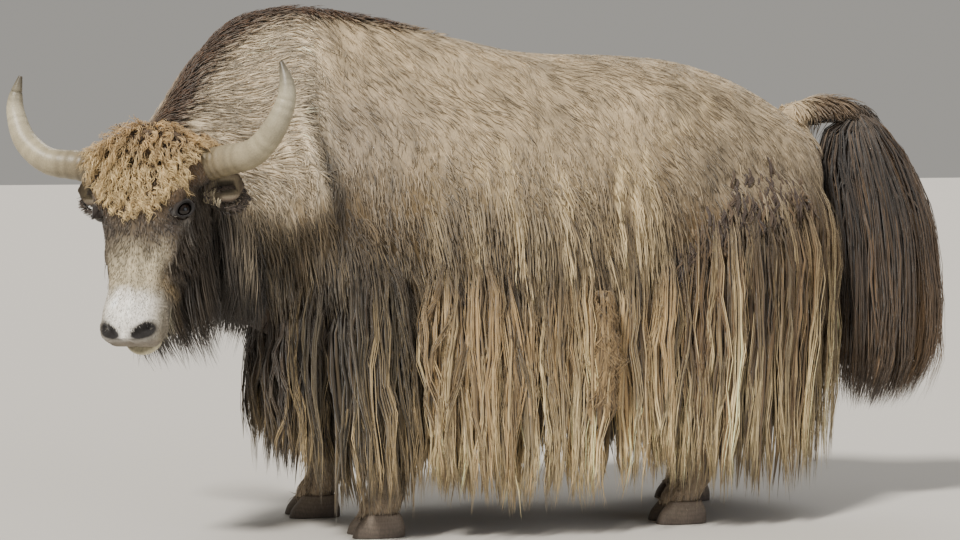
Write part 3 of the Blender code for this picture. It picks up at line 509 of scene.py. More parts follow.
def faceMarkings(points, fine):
    q = inHead(points)
    side, along, up = np.abs(q[:, 0]), q[:, 1], q[:, 2]
    mottle = softNoise(points, (0.022, 0.022, 0.030)) - 0.5
    ragged = along + 0.030 * mottle
    white = fade(ragged, 0.330, 0.395) * fade(up + 0.02 * mottle, -0.040, -0.002)
    white = white * fade(0.095 - side, 0, 0.055)
    line = mouthLine(q)
    atMouth = fade(along, 0.36, 0.40)
    # painted shade in and round the nostrils
    inNostril = np.clip(3.0 * nostrilShape(q) - 0.35, 0, 1)
    colours = layered(
        np.tile(hue["face"], (len(points), 1)),
        ("brow", 0.9 * fade(mottle, -0.05, 0.2) * fade(0.26 - along, 0, 0.08)),
        ("forelockDeep", 0.7 * fade(0.19 - along, 0, 0.06) * fade(up, -0.02, 0.03)),
        ("bridge", 0.9 * fade(ragged, 0.195, 0.315) * fade(up, -0.03, 0.02)),
        # lower face and underside of the jaw: brown hair, darkened further as painted shade
        ("cheek", 0.85 * fade(0.02 - up, 0, 0.04) * fade(0.36 - ragged, 0, 0.06)),
        ("cheekTuft", 0.8 * near(folded(q), (0.09, 0.325, -0.05), (0.04, 0.022, 0.04))),
        ("eyeRing", 0.95 * near(folded(q), (0.135, 0.150, 0.012), (0.05, 0.046, 0.034))),
        ("lowerLid", 0.55 * near(folded(q), (0.143, 0.174, -0.012), (0.05, 0.013, 0.016))),
        ("throat", 0.6 * fade(-up, 0.08, 0.14) * fade(0.36 - along, 0, 0.08)),
        ("muzzleSide", 0.85 * fade(ragged, 0.32, 0.38)),
        ("muzzle", 0.95 * white),
        ("nosePad", 0.5 * fade(along, 0.462, 0.474) * fade(up, -0.06, -0.045)),
        ("chin", 0.9 * fade(line - up, 0.002, 0.012) * atMouth),
        ("lips", 0.97 * bell(up - line, 0.011) * atMouth),
        ("nostril", inNostril),
    )
    return colours * (1 + (0.42 * mottle + 0.30 * fine) * (1 - inNostril))[:, None]


def markings(points):
    # the coat's colour at a place on the body, the same for skin and hair
    fine = softNoise(points, (0.02, 0.007, 0.05)) - 0.5
    share = isHead(points)[:, None]
    return np.clip(bodyMarkings(points, fine) * (1 - share) + faceMarkings(points, fine) * share, 0, 1)


# Skin: one closed surface through trunk, neck, head, legs and dock

def stance(z):
    # share of the foot's step that a leg has taken at a height
    return np.minimum(1, np.maximum(0, (legs["top"] - z) / legs["top"]) ** 0.8 * 1.05)


def ringFrame(yaw, pitch):
    a, b = math.radians(yaw), math.radians(pitch)
    side = np.array([math.cos(a), math.sin(a), 0])
    forward = np.array([math.sin(a) * math.cos(b), -math.cos(a) * math.cos(b), -math.sin(b)])
    return side, np.cross(forward, side)


def eyeFrame():
    # the way out of the eye, the way along its slit towards the nose, and the way up from the slit
    axis = unit(eyes["axis"])
    level = unit(np.array((0, 1, 0)) - axis[1] * axis)
    upright = np.cross(axis, level)
    c, s = math.cos(math.radians(eyes["slant"])), math.sin(math.radians(eyes["slant"]))
    return axis, c * level + s * upright, c * upright - s * level


def bodyShapes():
    rows = [(0, y, z, 0, 0, up, down, half, a, b) for y, z, up, down, half, a, b in trunk["rows"]]
    rings = []
    for x, y, z, yaw, pitch, up, down, half, a, b in smoothRows(rows + neck["rows"], 6):
        side, above = ringFrame(yaw, pitch)
        rings.append(section((x, y, z), side, above, half, up, down, a, b, 64))
    shapes = [loft(rings)]
    rings = []
    for d, u, above, below, half, roundness in smoothRows(head["rows"], 6):
        ring = section((0, d, u), (1, 0, 0), (0, 0, 1), half, above, below, roundness, roundness, 48)
        rings.append(onHead(ring))
    shapes.append(loft(rings))
    for x, d, u, *radii in [*head["bulges"], head["poll bulge"], head["chin bulge"]]:
        for side in {1, -1 if x else 1}:
            shapes.append(ball((side * x, d, u), radii))
    for (kind, side), step in legs["steps"].items():
        rings = []
        for x, y, z, half, front, back in smoothRows(legs[kind], 6):
            centre = (side * x, y + step * stance(z), z)
            rings.append(section(centre, (1, 0, 0), (0, -1, 0), half, front, back))
        shapes.append(loft(rings))
    rows = smoothRows(dock["rows"], 6)
    ahead = unit(np.gradient(rows[:, :2], axis=0))
    rings = [
        section((0, y, z), (1, 0, 0), (0, -dz, dy), half, above, below, sides=28)
        for (y, z, half, above, below), (dy, dz) in zip(rows, ahead)
    ]
    return [*shapes, loft(rings)]


def evaluated(obj):
    graph = bpy.context.evaluated_depsgraph_get()
    mesh = bpy.data.meshes.new_from_object(obj.evaluated_get(graph))
    obj.modifiers.clear()
    old, obj.data = obj.data, mesh
    bpy.data.meshes.remove(old)


def coordinates(mesh):
    p = np.empty(3 * len(mesh.vertices), np.float32)
    mesh.vertices.foreach_get("co", p)
    n = np.empty(3 * len(mesh.vertices), np.float32)
    mesh.vertex_normals.foreach_get("vector", n)
    return p.reshape(-1, 3).astype(float) - rowShift, n.reshape(-1, 3).astype(float)


def eyeWrinkles(q):
    # fine rings of folds around the eye
    ring = np.hypot((q[:, 1] - 0.150) / 1.0, (q[:, 2] - 0.012) / 1.3)
    folds = np.sin(ring * 2 * math.pi / 0.0085) * fade(ring, 0.030, 0.036) * fade(0.062 - ring, 0, 0.015)
    return folds * (q[:, 0] > 0.05)


def carve(points, normals):
    # presses the small forms of head and body into the dense surface
    q = inHead(points)
    both = folded(q)
    onIt = isHead(points)
    legShare = fade(0.56 - points[:, 2], 0, 0.1)
    depth = trunk["coatDepth"] * (1 - onIt) * (1 - legShare) + legs["coatDepth"] * np.maximum(onIt, legShare)
    for deep, form in (
        (0.030, nostrilShape(q)),
        (-0.004, near(both, (0.052, 0.452, 0.020), (0.026, 0.014, 0.010))),  # wing of the nostril
        (0.004, near(q, (0, 0.470, -0.01), (0.006, 0.05, 0.05))),  # groove between the nostrils
        (0.008, bell(q[:, 2] - mouthLine(q), 0.005) * fade(q[:, 1], 0.345, 0.375)),
        (-0.003, bell(q[:, 2] - mouthLine(q) - 0.014, 0.010) * fade(q[:, 1], 0.36, 0.40)),  # upper lip
        (0.010, near(both, (0.095, 0.215, 0.030), (0.03, 0.035, 0.020))),  # hollow before the eye
        (0.0011, eyeWrinkles(both)),
        (0.004, near(both, (0.075, 0.33, -0.01), (0.02, 0.08, 0.012))),  # furrow beside the nose
    ):
        depth += deep * onIt * form
    x, y, z = points.T
    for where, deep in ((-0.655, 0.016), (-0.715, 0.008), (-0.760, 0.006)):  # folds of the neck
        fold = bell(y - where + 0.03 * np.sin(6 * z), 0.018) * fade(z, 0.62, 0.80) * fade(1.20 - z, 0, 0.12)
        depth += deep * fold * (np.abs(x) > 0.06)
    elbow = bell(y + 0.40 - 0.25 * (z - 0.75), 0.045) * fade(z, 0.55, 0.68) * fade(1.0 - z, 0, 0.15)
    depth += 0.010 * elbow * (np.abs(x) > 0.15)
    depth -= 0.014 * near(folded(points), (0.20, 0.30, 1.13), (0.10, 0.07, 0.07))  # point of the hip
    depth += 0.014 * near(folded(points), (0.33, 0.20, 0.98), (0.12, 0.09, 0.10))  # hollow before the thigh
    return points - normals * depth[:, None]


def sockets(points):
    # opens the skin over both eyeballs
    q = inHead(points)
    side = np.where(q[:, 0] < 0, -1, 1)[:, None]
    away = q * np.hstack([side, side * 0 + 1, side * 0 + 1]) - np.array(eyes["place"])
    axis, along, up = eyeFrame()
    reach = np.linalg.norm(away, axis=1)
    share = np.hypot(away @ along / eyes["opening"][0], away @ up / eyes["opening"][1])
    inside = (away @ axis > 0) & (reach < 0.07)
    goal = eyes["ballRadius"] - 0.008 + 0.006 * fade(share, 1.2, 2.2)
    blend = (1 - fade(share, 1.7, 3.0)) * inside
    moved = away * (1 + (goal / np.maximum(reach, 1e-4) - 1) * blend * (goal < reach))[:, None]
    moved = moved + np.array(eyes["place"])
    moved[:, 0] *= side[:, 0]
    return np.where(inside[:, None] & (isHead(points) > 0.5)[:, None], onHead(moved), points)


def makeSkin():
    obj = makeMesh("skin", *joinShapes(bodyShapes()))
    remesh = obj.modifiers.new("closed", "REMESH")
    remesh.mode = "VOXEL"
    remesh.voxel_size = skin["voxel"]
    smooth = obj.modifiers.new("smooth", "SMOOTH")
    smooth.factor = 0.5
    smooth.iterations = skin["smoothRounds"]
    evaluated(obj)
    points, normals = coordinates(obj.data)
    points = sockets(carve(points, normals))
    obj.data.vertices.foreach_set("co", (points + rowShift).astype(np.float32).ravel())
    obj.data.update()
    group = obj.vertex_groups.new(name="coarse")
    share = 1 - 0.97 * isHead(points)
    for level in range(4):  # weights in four steps, as a group takes one weight for many points
        chosen = np.nonzero((share * 3.999).astype(int) == level)[0]
        if len(chosen):
            group.add(chosen.tolist(), max(0.02, level / 3), "REPLACE")
    fewer = obj.modifiers.new("fewer", "DECIMATE")
    fewer.ratio = skin["triangles"] / (2 * len(obj.data.polygons))
    fewer.vertex_group = "coarse"
    fewer.vertex_group_factor = 1.0
    evaluated(obj)
    for polygon in obj.data.polygons:
        polygon.use_smooth = True
    return obj


skinObject = makeSkin()
skinPoints, skinNormals = coordinates(skinObject.data)
skinObject.data.calc_loop_triangles()
skinFaces = np.empty(3 * len(skinObject.data.loop_triangles), np.int32)
skinObject.data.loop_triangles.foreach_get("vertices", skinFaces)
skinFaces = skinFaces.reshape(-1, 3)
surface = BVHTree.FromPolygons(skinPoints.tolist(), skinFaces.tolist())


def nearestSkin(points):
    # the nearest places of the skin and the way out of it there
    found = [surface.find_nearest(Vector(point)) for point in points]
    return (np.array([hit[i] for hit in found]) for i in (0, 1))


paint(skinObject, markings(skinPoints))
print("stage: skin", len(skinFaces), "triangles")


# Materials

def addNode(tree, kind, values=None, links=None, **settings):
    made = tree.nodes.new(kind)
    for name, value in settings.items():
        setattr(made, name, value)
    for socket, value in (values or {}).items():
        made.inputs[socket].default_value = value
    for socket, source in (links or {}).items():
        tree.links.new(source, made.inputs[socket])
    return made


def makeMaterial(name, finish):
    # the tint painted on the mesh, broken up by a fine grain, with relief from the same grain
    made = bpy.data.materials.new(name)
    made.use_nodes = True
    tree = made.node_tree
    shader = tree.nodes["Principled BSDF"]
    shader.inputs["Roughness"].default_value = finish["roughness"]
    shader.inputs["IOR"].default_value = finish["ior"]
    shader.inputs["Coat Weight"].default_value = finish.get("wet", 0)
    shader.inputs["Coat Roughness"].default_value = 0.04
    shader.inputs["Sheen Weight"].default_value = finish.get("sheen", 0)
    shader.inputs["Sheen Roughness"].default_value = 0.5
    tint = addNode(tree, "ShaderNodeAttribute", attribute_name="tint")
    if "grain" not in finish:
        tree.links.new(tint.outputs["Color"], shader.inputs["Base Color"])
        return made
    place = addNode(tree, "ShaderNodeTexCoord")
    scaled = addNode(
        tree, "ShaderNodeMapping", {"Scale": finish["stretch"]}, {"Vector": place.outputs["Object"]}
    )
    grain = addNode(
        tree,
        "ShaderNodeTexNoise",
        {"Scale": 1 / finish["grain"], "Detail": 4, "Roughness": 0.6},
        {"Vector": scaled.outputs["Vector"]},
    )
    low, high = finish["contrast"]
    shade = addNode(
        tree,
        "ShaderNodeMapRange",
        {"From Min": 0.3, "From Max": 0.7, "To Min": low, "To Max": high},
        {"Value": grain.outputs["Fac"]},
    )
    colour = addNode(
        tree,
        "ShaderNodeVectorMath",
        links={0: tint.outputs["Color"], 1: shade.outputs["Result"]},
        operation="MULTIPLY",
    )
    tree.links.new(colour.outputs["Vector"], shader.inputs["Base Color"])
    relief = addNode(
        tree,
        "ShaderNodeBump",
        {"Strength": finish["relief"], "Distance": finish["grain"] * 0.6},
        {"Height": grain.outputs["Fac"]},
    )
    tree.links.new(relief.outputs["Normal"], shader.inputs["Normal"])
    return made


finishes = {
    # hide under short hair: the grain is drawn out downwards, so that it reads as flat hair, not as skin
    "hide": {"roughness": 0.8, "ior": 1.45, "sheen": 0.15, "grain": 0.0035, "stretch": (1, 1, 0.25),
             "contrast": (0.72, 1.15), "relief": 0.6},
    # tufts of guard hair: dry and slightly glossy along their length
    "hair": {"roughness": 0.58, "ior": 1.55, "sheen": 0.2},
    # hanging locks: hair by hair in fine lines drawn out along their length, with painted shade in the gaps
    # between
    "locks": {"roughness": 0.6, "ior": 1.55, "sheen": 0.2, "grain": 0.0045, "stretch": (1, 1, 0.045),
              "contrast": (0.55, 1.28), "relief": 0.7},
    # keratin that grew in rings and was rubbed smooth: satin, with fine lines along it
    "horn": {"roughness": 0.42, "ior": 1.54, "grain": 0.004, "stretch": (1, 1, 1), "contrast": (0.8, 1.12),
             "relief": 0.25},
    # claws worn dull on stones, dusty
    "claw": {"roughness": 0.65, "ior": 1.54, "grain": 0.003, "stretch": (1, 1, 0.3), "contrast": (0.7, 1.2),
             "relief": 0.35},
    # a wet dark eye: a clear film over brown
    "eye": {"roughness": 0.15, "ior": 1.38, "wet": 0.25},
}
materials = {name: makeMaterial(name, finish) for name, finish in finishes.items()}


def place(obj, stuff, slot, *nodes):
    obj.data.materials.clear()
    obj.data.materials.append(materials[stuff])
    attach(obj, "root")
    if nodes:
        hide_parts(*nodes)
    return obj


sideFlesh = ("flank", "foreleg", "thigh", "fore_shin", "hind_shin")
flesh = ["torso", "neck", "head", "tail_dock", "tail_switch"]
flesh += [f"{part}_{name}" for name in sideNames.values() for part in sideFlesh]
place(skinObject, "hide", "coat", *flesh)


# Horns, eyes, ears, claws

horns = {
    "rows": [  # sideways, distance from the poll, above the head's line, radius
        (0.100, 0.036, -0.012, 0.042),
        (0.170, 0.024, -0.004, 0.040),
        (0.221, 0.017, 0.003, 0.038),
        (0.302, 0.008, 0.022, 0.034),
        (0.363, -0.037, 0.046, 0.030),
        (0.396, -0.104, 0.061, 0.024),
        (0.398, -0.150, 0.074, 0.018),
        (0.383, -0.200, 0.089, 0.005),
    ],
    "rings": 0.0006,
    "sides": 40,
    "colours": ("#4d4433", "#7b6f57", "#aba084", "#b3aa91", "#4f483b"),
}
ears = {
    "root": (0.122, 0.072, -0.050),
    "way": (0.93, -0.05, 0.02),
    "face": (0.00, 0.30, 1.00),
    "length": 0.118,
    "rows": [  # share of the length, half width, half thickness
        (0.00, 0.018, 0.016),
        (0.20, 0.024, 0.019),
        (0.45, 0.036, 0.020),
        (0.70, 0.038, 0.016),
        (0.88, 0.027, 0.011),
        (1.00, 0.006, 0.005),
    ],
    "cup": (0.58, 0.044, 0.027, 0.022),  # share of the length, half length, half width, depth
}
claws = {
    "rows": [  # height, reach forwards, reach backwards, half width of one claw
        (0.0005, 0.076, 0.058, 0.029),
        (0.003, 0.078, 0.060, 0.031),
        (0.024, 0.070, 0.060, 0.031),
        (0.045, 0.053, 0.054, 0.029),
        (0.060, 0.040, 0.047, 0.025),
    ],
    "apart": 0.034,
    "colours": ("#4a4038", "#776a5c"),
}


def blendHues(names, share):
    # a colour along a list of hex colours, share 0 to 1
    table = np.array([linear(name) for name in names])
    share = np.clip(share, 0, 1) * (len(table) - 1)
    return np.stack([np.interp(share, np.arange(len(table)), table[:, i]) for i in range(3)], 1)


def makeHorn(side, name):
    rows = smoothRows(horns["rows"], 16)
    path = onHead(rows[:, :3] * (side, 1, 1))
    share = np.linspace(0, 1, len(rows))
    rings = horns["rings"] * np.sin(share * 150 + 4 * np.sin(share * 11)) * fade(0.75 - share, 0, 0.6)
    ahead = unit(np.gradient(path, axis=0))
    aside = unit(np.cross(ahead, (0.1, 0.2, 1)))
    points, faces = loft([
        section(middle, across, np.cross(across, way), radius, radius, radius, sides=horns["sides"])
        for middle, way, across, radius in zip(path, ahead, aside, rows[:, 3] + rings)
    ])
    along = np.append(np.repeat(share, horns["sides"]), (0, 1))
    obj = makeMesh(f"horn {name}", points, faces)
    streak = 0.12 * np.sin(60 * along + 3 * np.sin(37 * along))
    # painted shade on the side of the horn towards the animal's back, painted highlight on the side towards
    # the front
    under = unit(points - points.mean(0))[:, 1] * 0.10
    paint(obj, blendHues(horns["colours"], along + 0.05 * streak) * (1 + streak[:, None] - under[:, None]))
    return place(obj, "horn", "horn", f"horn_{name}")


def makeEye(side, name):
    radius = eyes["ballRadius"]
    axis, along, up = eyeFrame()
    turn = np.arange(48) * 2 * math.pi / 48
    around = np.cos(turn)[:, None] * along + np.sin(turn)[:, None] * up
    rings = []
    for a in np.linspace(0.02, math.pi - 0.02, 40):
        bulge = radius * (1 + 0.04 * bell(a, 0.55))  # the clear front stands out a little
        rings.append(np.array(eyes["place"]) + bulge * (math.cos(a) * axis + math.sin(a) * around))
    local, faces = loft(rings)
    offset = (local - np.array(eyes["place"])) / radius
    obj = makeMesh(f"eye {name}", onHead(local * (side, 1, 1)), faces if side > 0 else faces[:, ::-1])
    wide = np.hypot(offset @ along, offset @ up)
    pupil = np.hypot(offset @ along / 0.36, offset @ up / 0.22)
    paint(obj, blendHues(eyes["colours"], fade(wide, 0.30, 1.0)) * fade(pupil, 0.85, 1.1)[:, None])
    return place(obj, "eye", "eye", f"eye_{name}")


def makeLids(side, name):
    # both eyelids as one ring with its folds, whose outer edge runs in under the skin
    axis, along, up = eyeFrame()
    sides = eyes["lidSides"]
    turn = np.arange(sides) * 2 * math.pi / sides
    rows = smoothRows(eyes["lids"], 3)
    points = []
    for share, lift in rows:
        upper = np.maximum(0, np.sin(turn))
        fold = lift + 0.0016 * upper * (1 < share < 2.4)
        a = share * eyes["opening"][0] * np.cos(turn)
        b = share * eyes["opening"][1] * np.sin(turn) * (1 - 0.12 * np.cos(turn))
        radius = eyes["ballRadius"] + fold
        out = np.sqrt(np.maximum(radius**2 - (0.55 * a) ** 2 - (0.62 * b) ** 2, 1e-6))
        points.append(np.array(eyes["place"]) + a[:, None] * along + b[:, None] * up + out[:, None] * axis)
    local = np.array(points).reshape(-1, 3)
    share = np.repeat(rows[:, 0], sides)
    onSkin = fade(share, *eyes["onSkin"])[:, None]
    world = onHead(local * (side, 1, 1))
    hits, normals = nearestSkin(world)
    under = hits - (0.0006 + 0.004 * (share > 2.3))[:, None] * normals
    world = world * (1 - onSkin) + under * onSkin
    faces = np.vstack(bands(len(rows), sides))[:, (0, 2, 1)]
    obj = makeMesh(f"lids {name}", world, faces[:, :: -side])
    low = np.sin(np.tile(turn, len(rows))) < -0.2
    colours = layered(
        markings(world),
        ("eyeRing", 0.95 * fade(-share, -2.6, -1.9)),
        ("nostril", 0.9 * fade(-share, -1.36, -1.18)),
        ("lowerLid", 0.7 * low * fade(share, 1.2, 1.4) * fade(-share, -2.0, -1.6)),
    )
    paint(obj, colours)
    return place(obj, "hide", "coat")


def makeEar(side, name):
    way = unit(ears["way"])
    face = unit(np.array(ears["face"]) - np.dot(ears["face"], way) * way)
    wide = np.cross(way, face)
    root = np.array(ears["root"])
    rings = [
        section(root + (share * ears["length"] + 0.004) * way, wide, face, half, deep, deep, sides=36)
        for share, half, deep in smoothRows(ears["rows"], 8)
    ]
    local, faces = loft(rings)
    share, long, broad, deep = ears["cup"]
    offset = local - root - share * ears["length"] * way
    cup = np.exp(-((offset @ way / long) ** 4) - (offset @ wide / broad) ** 4) * (offset @ face > 0)
    local = local - face * (deep * cup)[:, None]
    obj = makeMesh(f"ear {name}", onHead(local * (side, 1, 1)), faces if side > 0 else faces[:, ::-1])
    bare = np.tile(hue["ear"], (len(local), 1))
    # pale hair colour in the cup, with painted shade at its deepest middle
    paint(obj, layered(bare, ("bridge", 0.55 * cup), ("nostril", 0.85 * fade(cup, 0.75, 1.0))))
    return place(obj, "hide", "coat", f"ear_{name}")


def makeClaws(kind, side, name):
    x, y, _, *_ = legs[kind][-1]
    y += legs["steps"][kind, side] * stance(0)
    for outer, half in ((-1, "right"), (1, "left")):
        rings = []
        for z, front, back, width in smoothRows(claws["rows"], 5):
            middle = (side * x + outer * claws["apart"], y, z)
            rings.append(section(middle, (1, 0, 0), (0, -1, 0), width, front, back, 2.4, 2.6, 36))
        points, faces = loft(rings)
        obj = makeMesh(f"claw {kind} {name} {half}", points, faces[:, ::-1])
        rough = 0.12 * np.sin(points[:, 2] * 900 + 5 * np.sin(points[:, 0] * 90))
        paint(obj, blendHues(claws["colours"], points[:, 2] / 0.06) * (1 + rough[:, None]))
        place(obj, "claw", "hoof", f"claw_{kind}_{name}_{half}")


for side, name in sideNames.items():
    makeHorn(side, name)
    makeEye(side, name)
    makeLids(side, name)
    makeEar(side, name)
    makeClaws("fore", side, name)
    makeClaws("hind", side, name)
print("stage: horns, eyes, ears, claws")


# Coat: three-sided tufts that taper to a point, many to a mesh

# patch: a tuft on the flat map; beyond: how far hair may hang out of the CAD box at the sides
coat = {"patch": 0.003, "mostTriangles": 190000, "beyond": 0.018}


def unwrapped(points):
    # where a place of the skin lies on its flat map: each part of the body in a field of its own
    x, y, z = points.T
    q = inHead(points)
    turn = np.arctan2(x, z - 0.86) / (2 * math.pi) + 0.5
    flat = np.stack([0.02 + 0.60 * (y + 1.15) / 1.95, 0.02 + 0.50 * turn], 1)
    headTurnShare = np.arctan2(q[:, 0], q[:, 2] + 0.04) / (2 * math.pi) + 0.5
    onIt = isHead(points) > 0.5
    flat[onIt] = np.stack([0.02 + 0.40 * (q[:, 1] + 0.1) / 0.6, 0.56 + 0.40 * headTurnShare], 1)[onIt]
    low = z < 0.46
    for i, (kind, side) in enumerate(legs["steps"]):
        chosen = low & ((y < 0) == (kind == "fore")) & (np.sign(x) == side)
        middle = -0.53 if kind == "fore" else 0.44
        legTurn = np.arctan2(x - side * 0.178, y - middle) / (2 * math.pi) + 0.5
        field = np.stack([0.66 + 0.16 * (i % 2) + 0.14 * legTurn, 0.56 + 0.21 * (i // 2) + 0.4 * z], 1)
        flat[chosen] = field[chosen]
    tail = (y > 0.80) & (z > 0.8)
    tailTurn = np.arctan2(x, y - 0.99) / (2 * math.pi) + 0.5
    flat[tail] = np.stack([0.68 + 0.28 * tailTurn, 0.05 + 0.5 * (z - 0.8)], 1)[tail]
    return flat


def strandFaces(stations):
    # triangles of one tuft: a closed root, three sides, a point
    faces = [(0, 2, 1)]
    for k in range(stations - 2):
        a = 3 * k
        for i in range(3):
            j = (i + 1) % 3
            faces += [(a + i, a + j, a + 3 + j), (a + i, a + 3 + j, a + 3 + i)]
    a = 3 * (stations - 2)
    tip = a + 3
    faces += [(a, a + 1, tip), (a + 1, a + 2, tip), (a + 2, a, tip)]
    return np.array(faces)


def pressedIn(paths):
    # hair that leaves the CAD box sideways is pressed back to the distance it may keep outside
    x = paths[..., 0] + rowShift[0]
    over = x - np.clip(x, cadBox[0][0], cadBox[1][0])
    paths[..., 0] += coat["beyond"] * np.tanh(over / coat["beyond"]) - over
    return paths


def addCoat(name, paths, half, thick, out, tints, slot="coat", stuff="hair"):
    # paths and tints: tufts x stations x 3, half widths: tufts x stations, thick: thickness as a share of the
    # width, out: the way out of the skin
    order = np.argsort(paths[:, 0, 1], kind="stable")
    paths, half, out, tints = paths[order], half[order], out[order], tints[order]
    paths = pressedIn(paths)
    count, stations, _ = paths.shape
    template = strandFaces(stations)
    perMesh = coat["mostTriangles"] // len(template)
    pieces = math.ceil(count / perMesh)
    corners = np.array([(1, -0.33), (0, 0.67), (-1, -0.33)])
    nodes = 3 * (stations - 1) + 1
    alongPatch = np.append(np.repeat(np.linspace(-0.5, 0.3, stations - 1), 3), 0.5)
    acrossPatch = np.append(np.tile((-0.5, 0, 0.5), stations - 1), 0)
    for part in range(pieces):
        one = slice(part * count // pieces, (part + 1) * count // pieces)
        path, wide, up, tint = paths[one], half[one], out[one], tints[one]
        ahead = unit(np.gradient(path, axis=1))
        side = unit(np.cross(ahead, up[:, None]))
        rise = np.cross(side, ahead)
        rings = path[:, :-1, None] + wide[:, :-1, None, None] * (
            corners[:, 0, None] * side[:, :-1, None] + corners[:, 1, None] * thick * 2 * rise[:, :-1, None]
        )
        number = len(path)
        points = np.concatenate([rings.reshape(number, -1, 3), path[:, -1:]], 1)
        colours = np.concatenate([np.repeat(tint[:, :-1], 3, axis=1), tint[:, -1:]], 1)
        faces = (template[None] + (np.arange(number) * nodes)[:, None, None]).reshape(-1, 3)
        obj = makeMesh(f"{name} {part + 1}", points.reshape(-1, 3), faces)
        paint(obj, np.clip(colours.reshape(-1, 3), 0, 1))
        flat = unwrapped(path[:, 0])[:, None] + coat["patch"] * np.stack([acrossPatch, alongPatch], 1)
        layer = obj.data.uv_layers.new(name="OFBake")
        layer.uv.foreach_set("vector", flat.reshape(-1, 2)[faces.ravel()].astype(np.float32).ravel())
        place(obj, stuff, slot)
    print("stage:", name, count, "tufts", count * len(template), "triangles")


corner = [skinPoints[skinFaces[:, i]] for i in range(3)]
normal = [skinNormals[skinFaces[:, i]] for i in range(3)]
faceMiddles = sum(corner) / 3
faceAreas = np.linalg.norm(np.cross(corner[1] - corner[0], corner[2] - corner[0]), axis=1) / 2


def scatter(count, weight):
    # places on the skin and the way out of it there, spread by area and weight
    share = faceAreas * np.clip(weight, 0, None)
    chosen = draw.choice(len(share), count, p=share / share.sum())
    u, v = draw.random((2, count))
    over = u + v > 1
    u, v = np.where(over, 1 - u, u)[:, None], np.where(over, 1 - v, v)[:, None]
    places = (1 - u - v) * corner[0][chosen] + u * corner[1][chosen] + v * corner[2][chosen]
    outs = (1 - u - v) * normal[0][chosen] + u * normal[1][chosen] + v * normal[2][chosen]
    return places, unit(outs)


def flattened(ways, outs):
    # ways without their share out of the skin
    return ways - (ways * outs).sum(1)[:, None] * outs


def aroundBody(outs):
    # level ways at right angles to the ways out
    return np.stack([-outs[:, 1], outs[:, 0], 0 * outs[:, 0]], 1)


def lie(points, outs):
    # the way that short hair points along the skin
    x, y, z = points.T
    q = inHead(points)
    way = np.stack([0.25 * np.sign(x) * fade(z, 1.1, 1.3), np.full(len(x), 0.42), np.full(len(x), -1.0)], 1)
    onIt = isHead(points)[:, None]
    ahead = np.stack([0.25 * np.sign(q[:, 0]), np.ones(len(x)), -0.35 - 0 * z], 1) * (1, -1, 1)
    way = way * (1 - onIt) + (ahead @ headTurn.T) * onIt
    low = fade(0.5 - z, 0, 0.1)[:, None]
    way = way * (1 - low) + np.array((0, 0.05, -1)) * low
    onNeck = (fade(-y, 0.63, 0.76) * fade(z, 0.84, 1.0))[:, None] * (1 - onIt)
    way = way * (1 - onNeck) + np.array((0, 1, 0.12)) * onNeck
    swirlSizes = ((0.11, 0.07, 0.12), (0.12, 0.08, 0.10), (0.10, 0.10, 0.10))
    swirl = np.stack([softNoise(points, size) - 0.5 for size in swirlSizes], 1)
    way = way + 0.9 * swirl * (1 - onIt) + draw.normal(0, 0.06, way.shape)
    return unit(flattened(way, outs))


def settle(paths, heights, exact=True):
    # keeps the points of tufts at their height over the nearest skin, or at least that high
    flat, heights = paths.reshape(-1, 3), heights.reshape(-1)
    hits, normals = nearestSkin(flat)
    if not exact:
        heights = np.maximum(heights, ((flat - hits) * normals).sum(1))
    return (hits + flattened(flat - hits, normals) + normals * heights[:, None]).reshape(paths.shape)


def shortHair(name, make, places, outs, length, half):
    # tufts that lie along the skin and lift off it towards their tips
    ways = lie(places, outs)
    aside = np.cross(outs, ways)
    s = np.linspace(0, 1, make["stations"])[None, :, None]
    length, half = length[:, None, None], half[:, None]
    bend = draw.normal(0, 0.14, (len(places), 1, 1))
    paths = places[:, None] + ways[:, None] * s * length + aside[:, None] * length * bend * s**2
    heights = (length * make["lift"] * s * (1.15 - 0.6 * s))[..., 0]
    paths = np.concatenate([paths[:, :1] - outs[:, None] * 0.002, settle(paths[:, 1:], heights[:, 1:])], 1)
    widths = half * (1.05 - 0.75 * s[..., 0] ** 1.6)
    shade = 1 - 0.6 * make["shade"] + make["shade"] * s
    tone = draw.normal(1, make["contrast"], (len(places), 1, 1)) * shade
    tints = markings(places)[:, None]
    if "tips" in make:
        tints = between(tints, make["tips"], 0.75 * s**2 * draw.random((len(places), 1, 1)))
    addCoat(name, paths, widths, 0.30, outs, tints * tone)


def grownHair(name, make, weight, size=None):
    # short hair of one kind over the weighted skin, size tells how its length changes with the place
    places, outs = scatter(make["tufts"], weight)
    length = draw.uniform(*make["length"], len(places)) * (size(places) if size else 1)
    shortHair(name, make, places, outs, length, draw.uniform(*make["halfWidth"], len(places)))


# contrast: from tuft to tuft; shade: how much darker the roots are than the tips
bodyHair = {"tufts": 23000, "length": (0.034, 0.058), "halfWidth": (0.0009, 0.0019), "lift": 0.12,
            "stations": 3, "contrast": 0.24, "shade": 0.2}
crestHair = {"tufts": 2400, "length": (0.030, 0.050), "halfWidth": (0.0016, 0.0030), "lift": 0.45,
             "stations": 4, "contrast": 0.12, "shade": 0.5, "tips": "crestTips"}
onIt = isHead(faceMiddles)
along, height = faceMiddles[:, 1], faceMiddles[:, 2]
onTail = (along > 0.86) & (height > 0.8)
onNeck = fade(-along, 0.55, 0.75)
bodyWeight = (1 - onIt) * ~onTail * fade(height, 0.56, 0.66)
shortWeight = bodyWeight * (0.30 + 0.70 * fade(height, 0.70, 0.95)) * (1 + 0.6 * onNeck)
grownHair("body_hair", bodyHair, shortWeight, lambda places: 1 + 0.6 * fade(-places[:, 1], 0.55, 0.8))
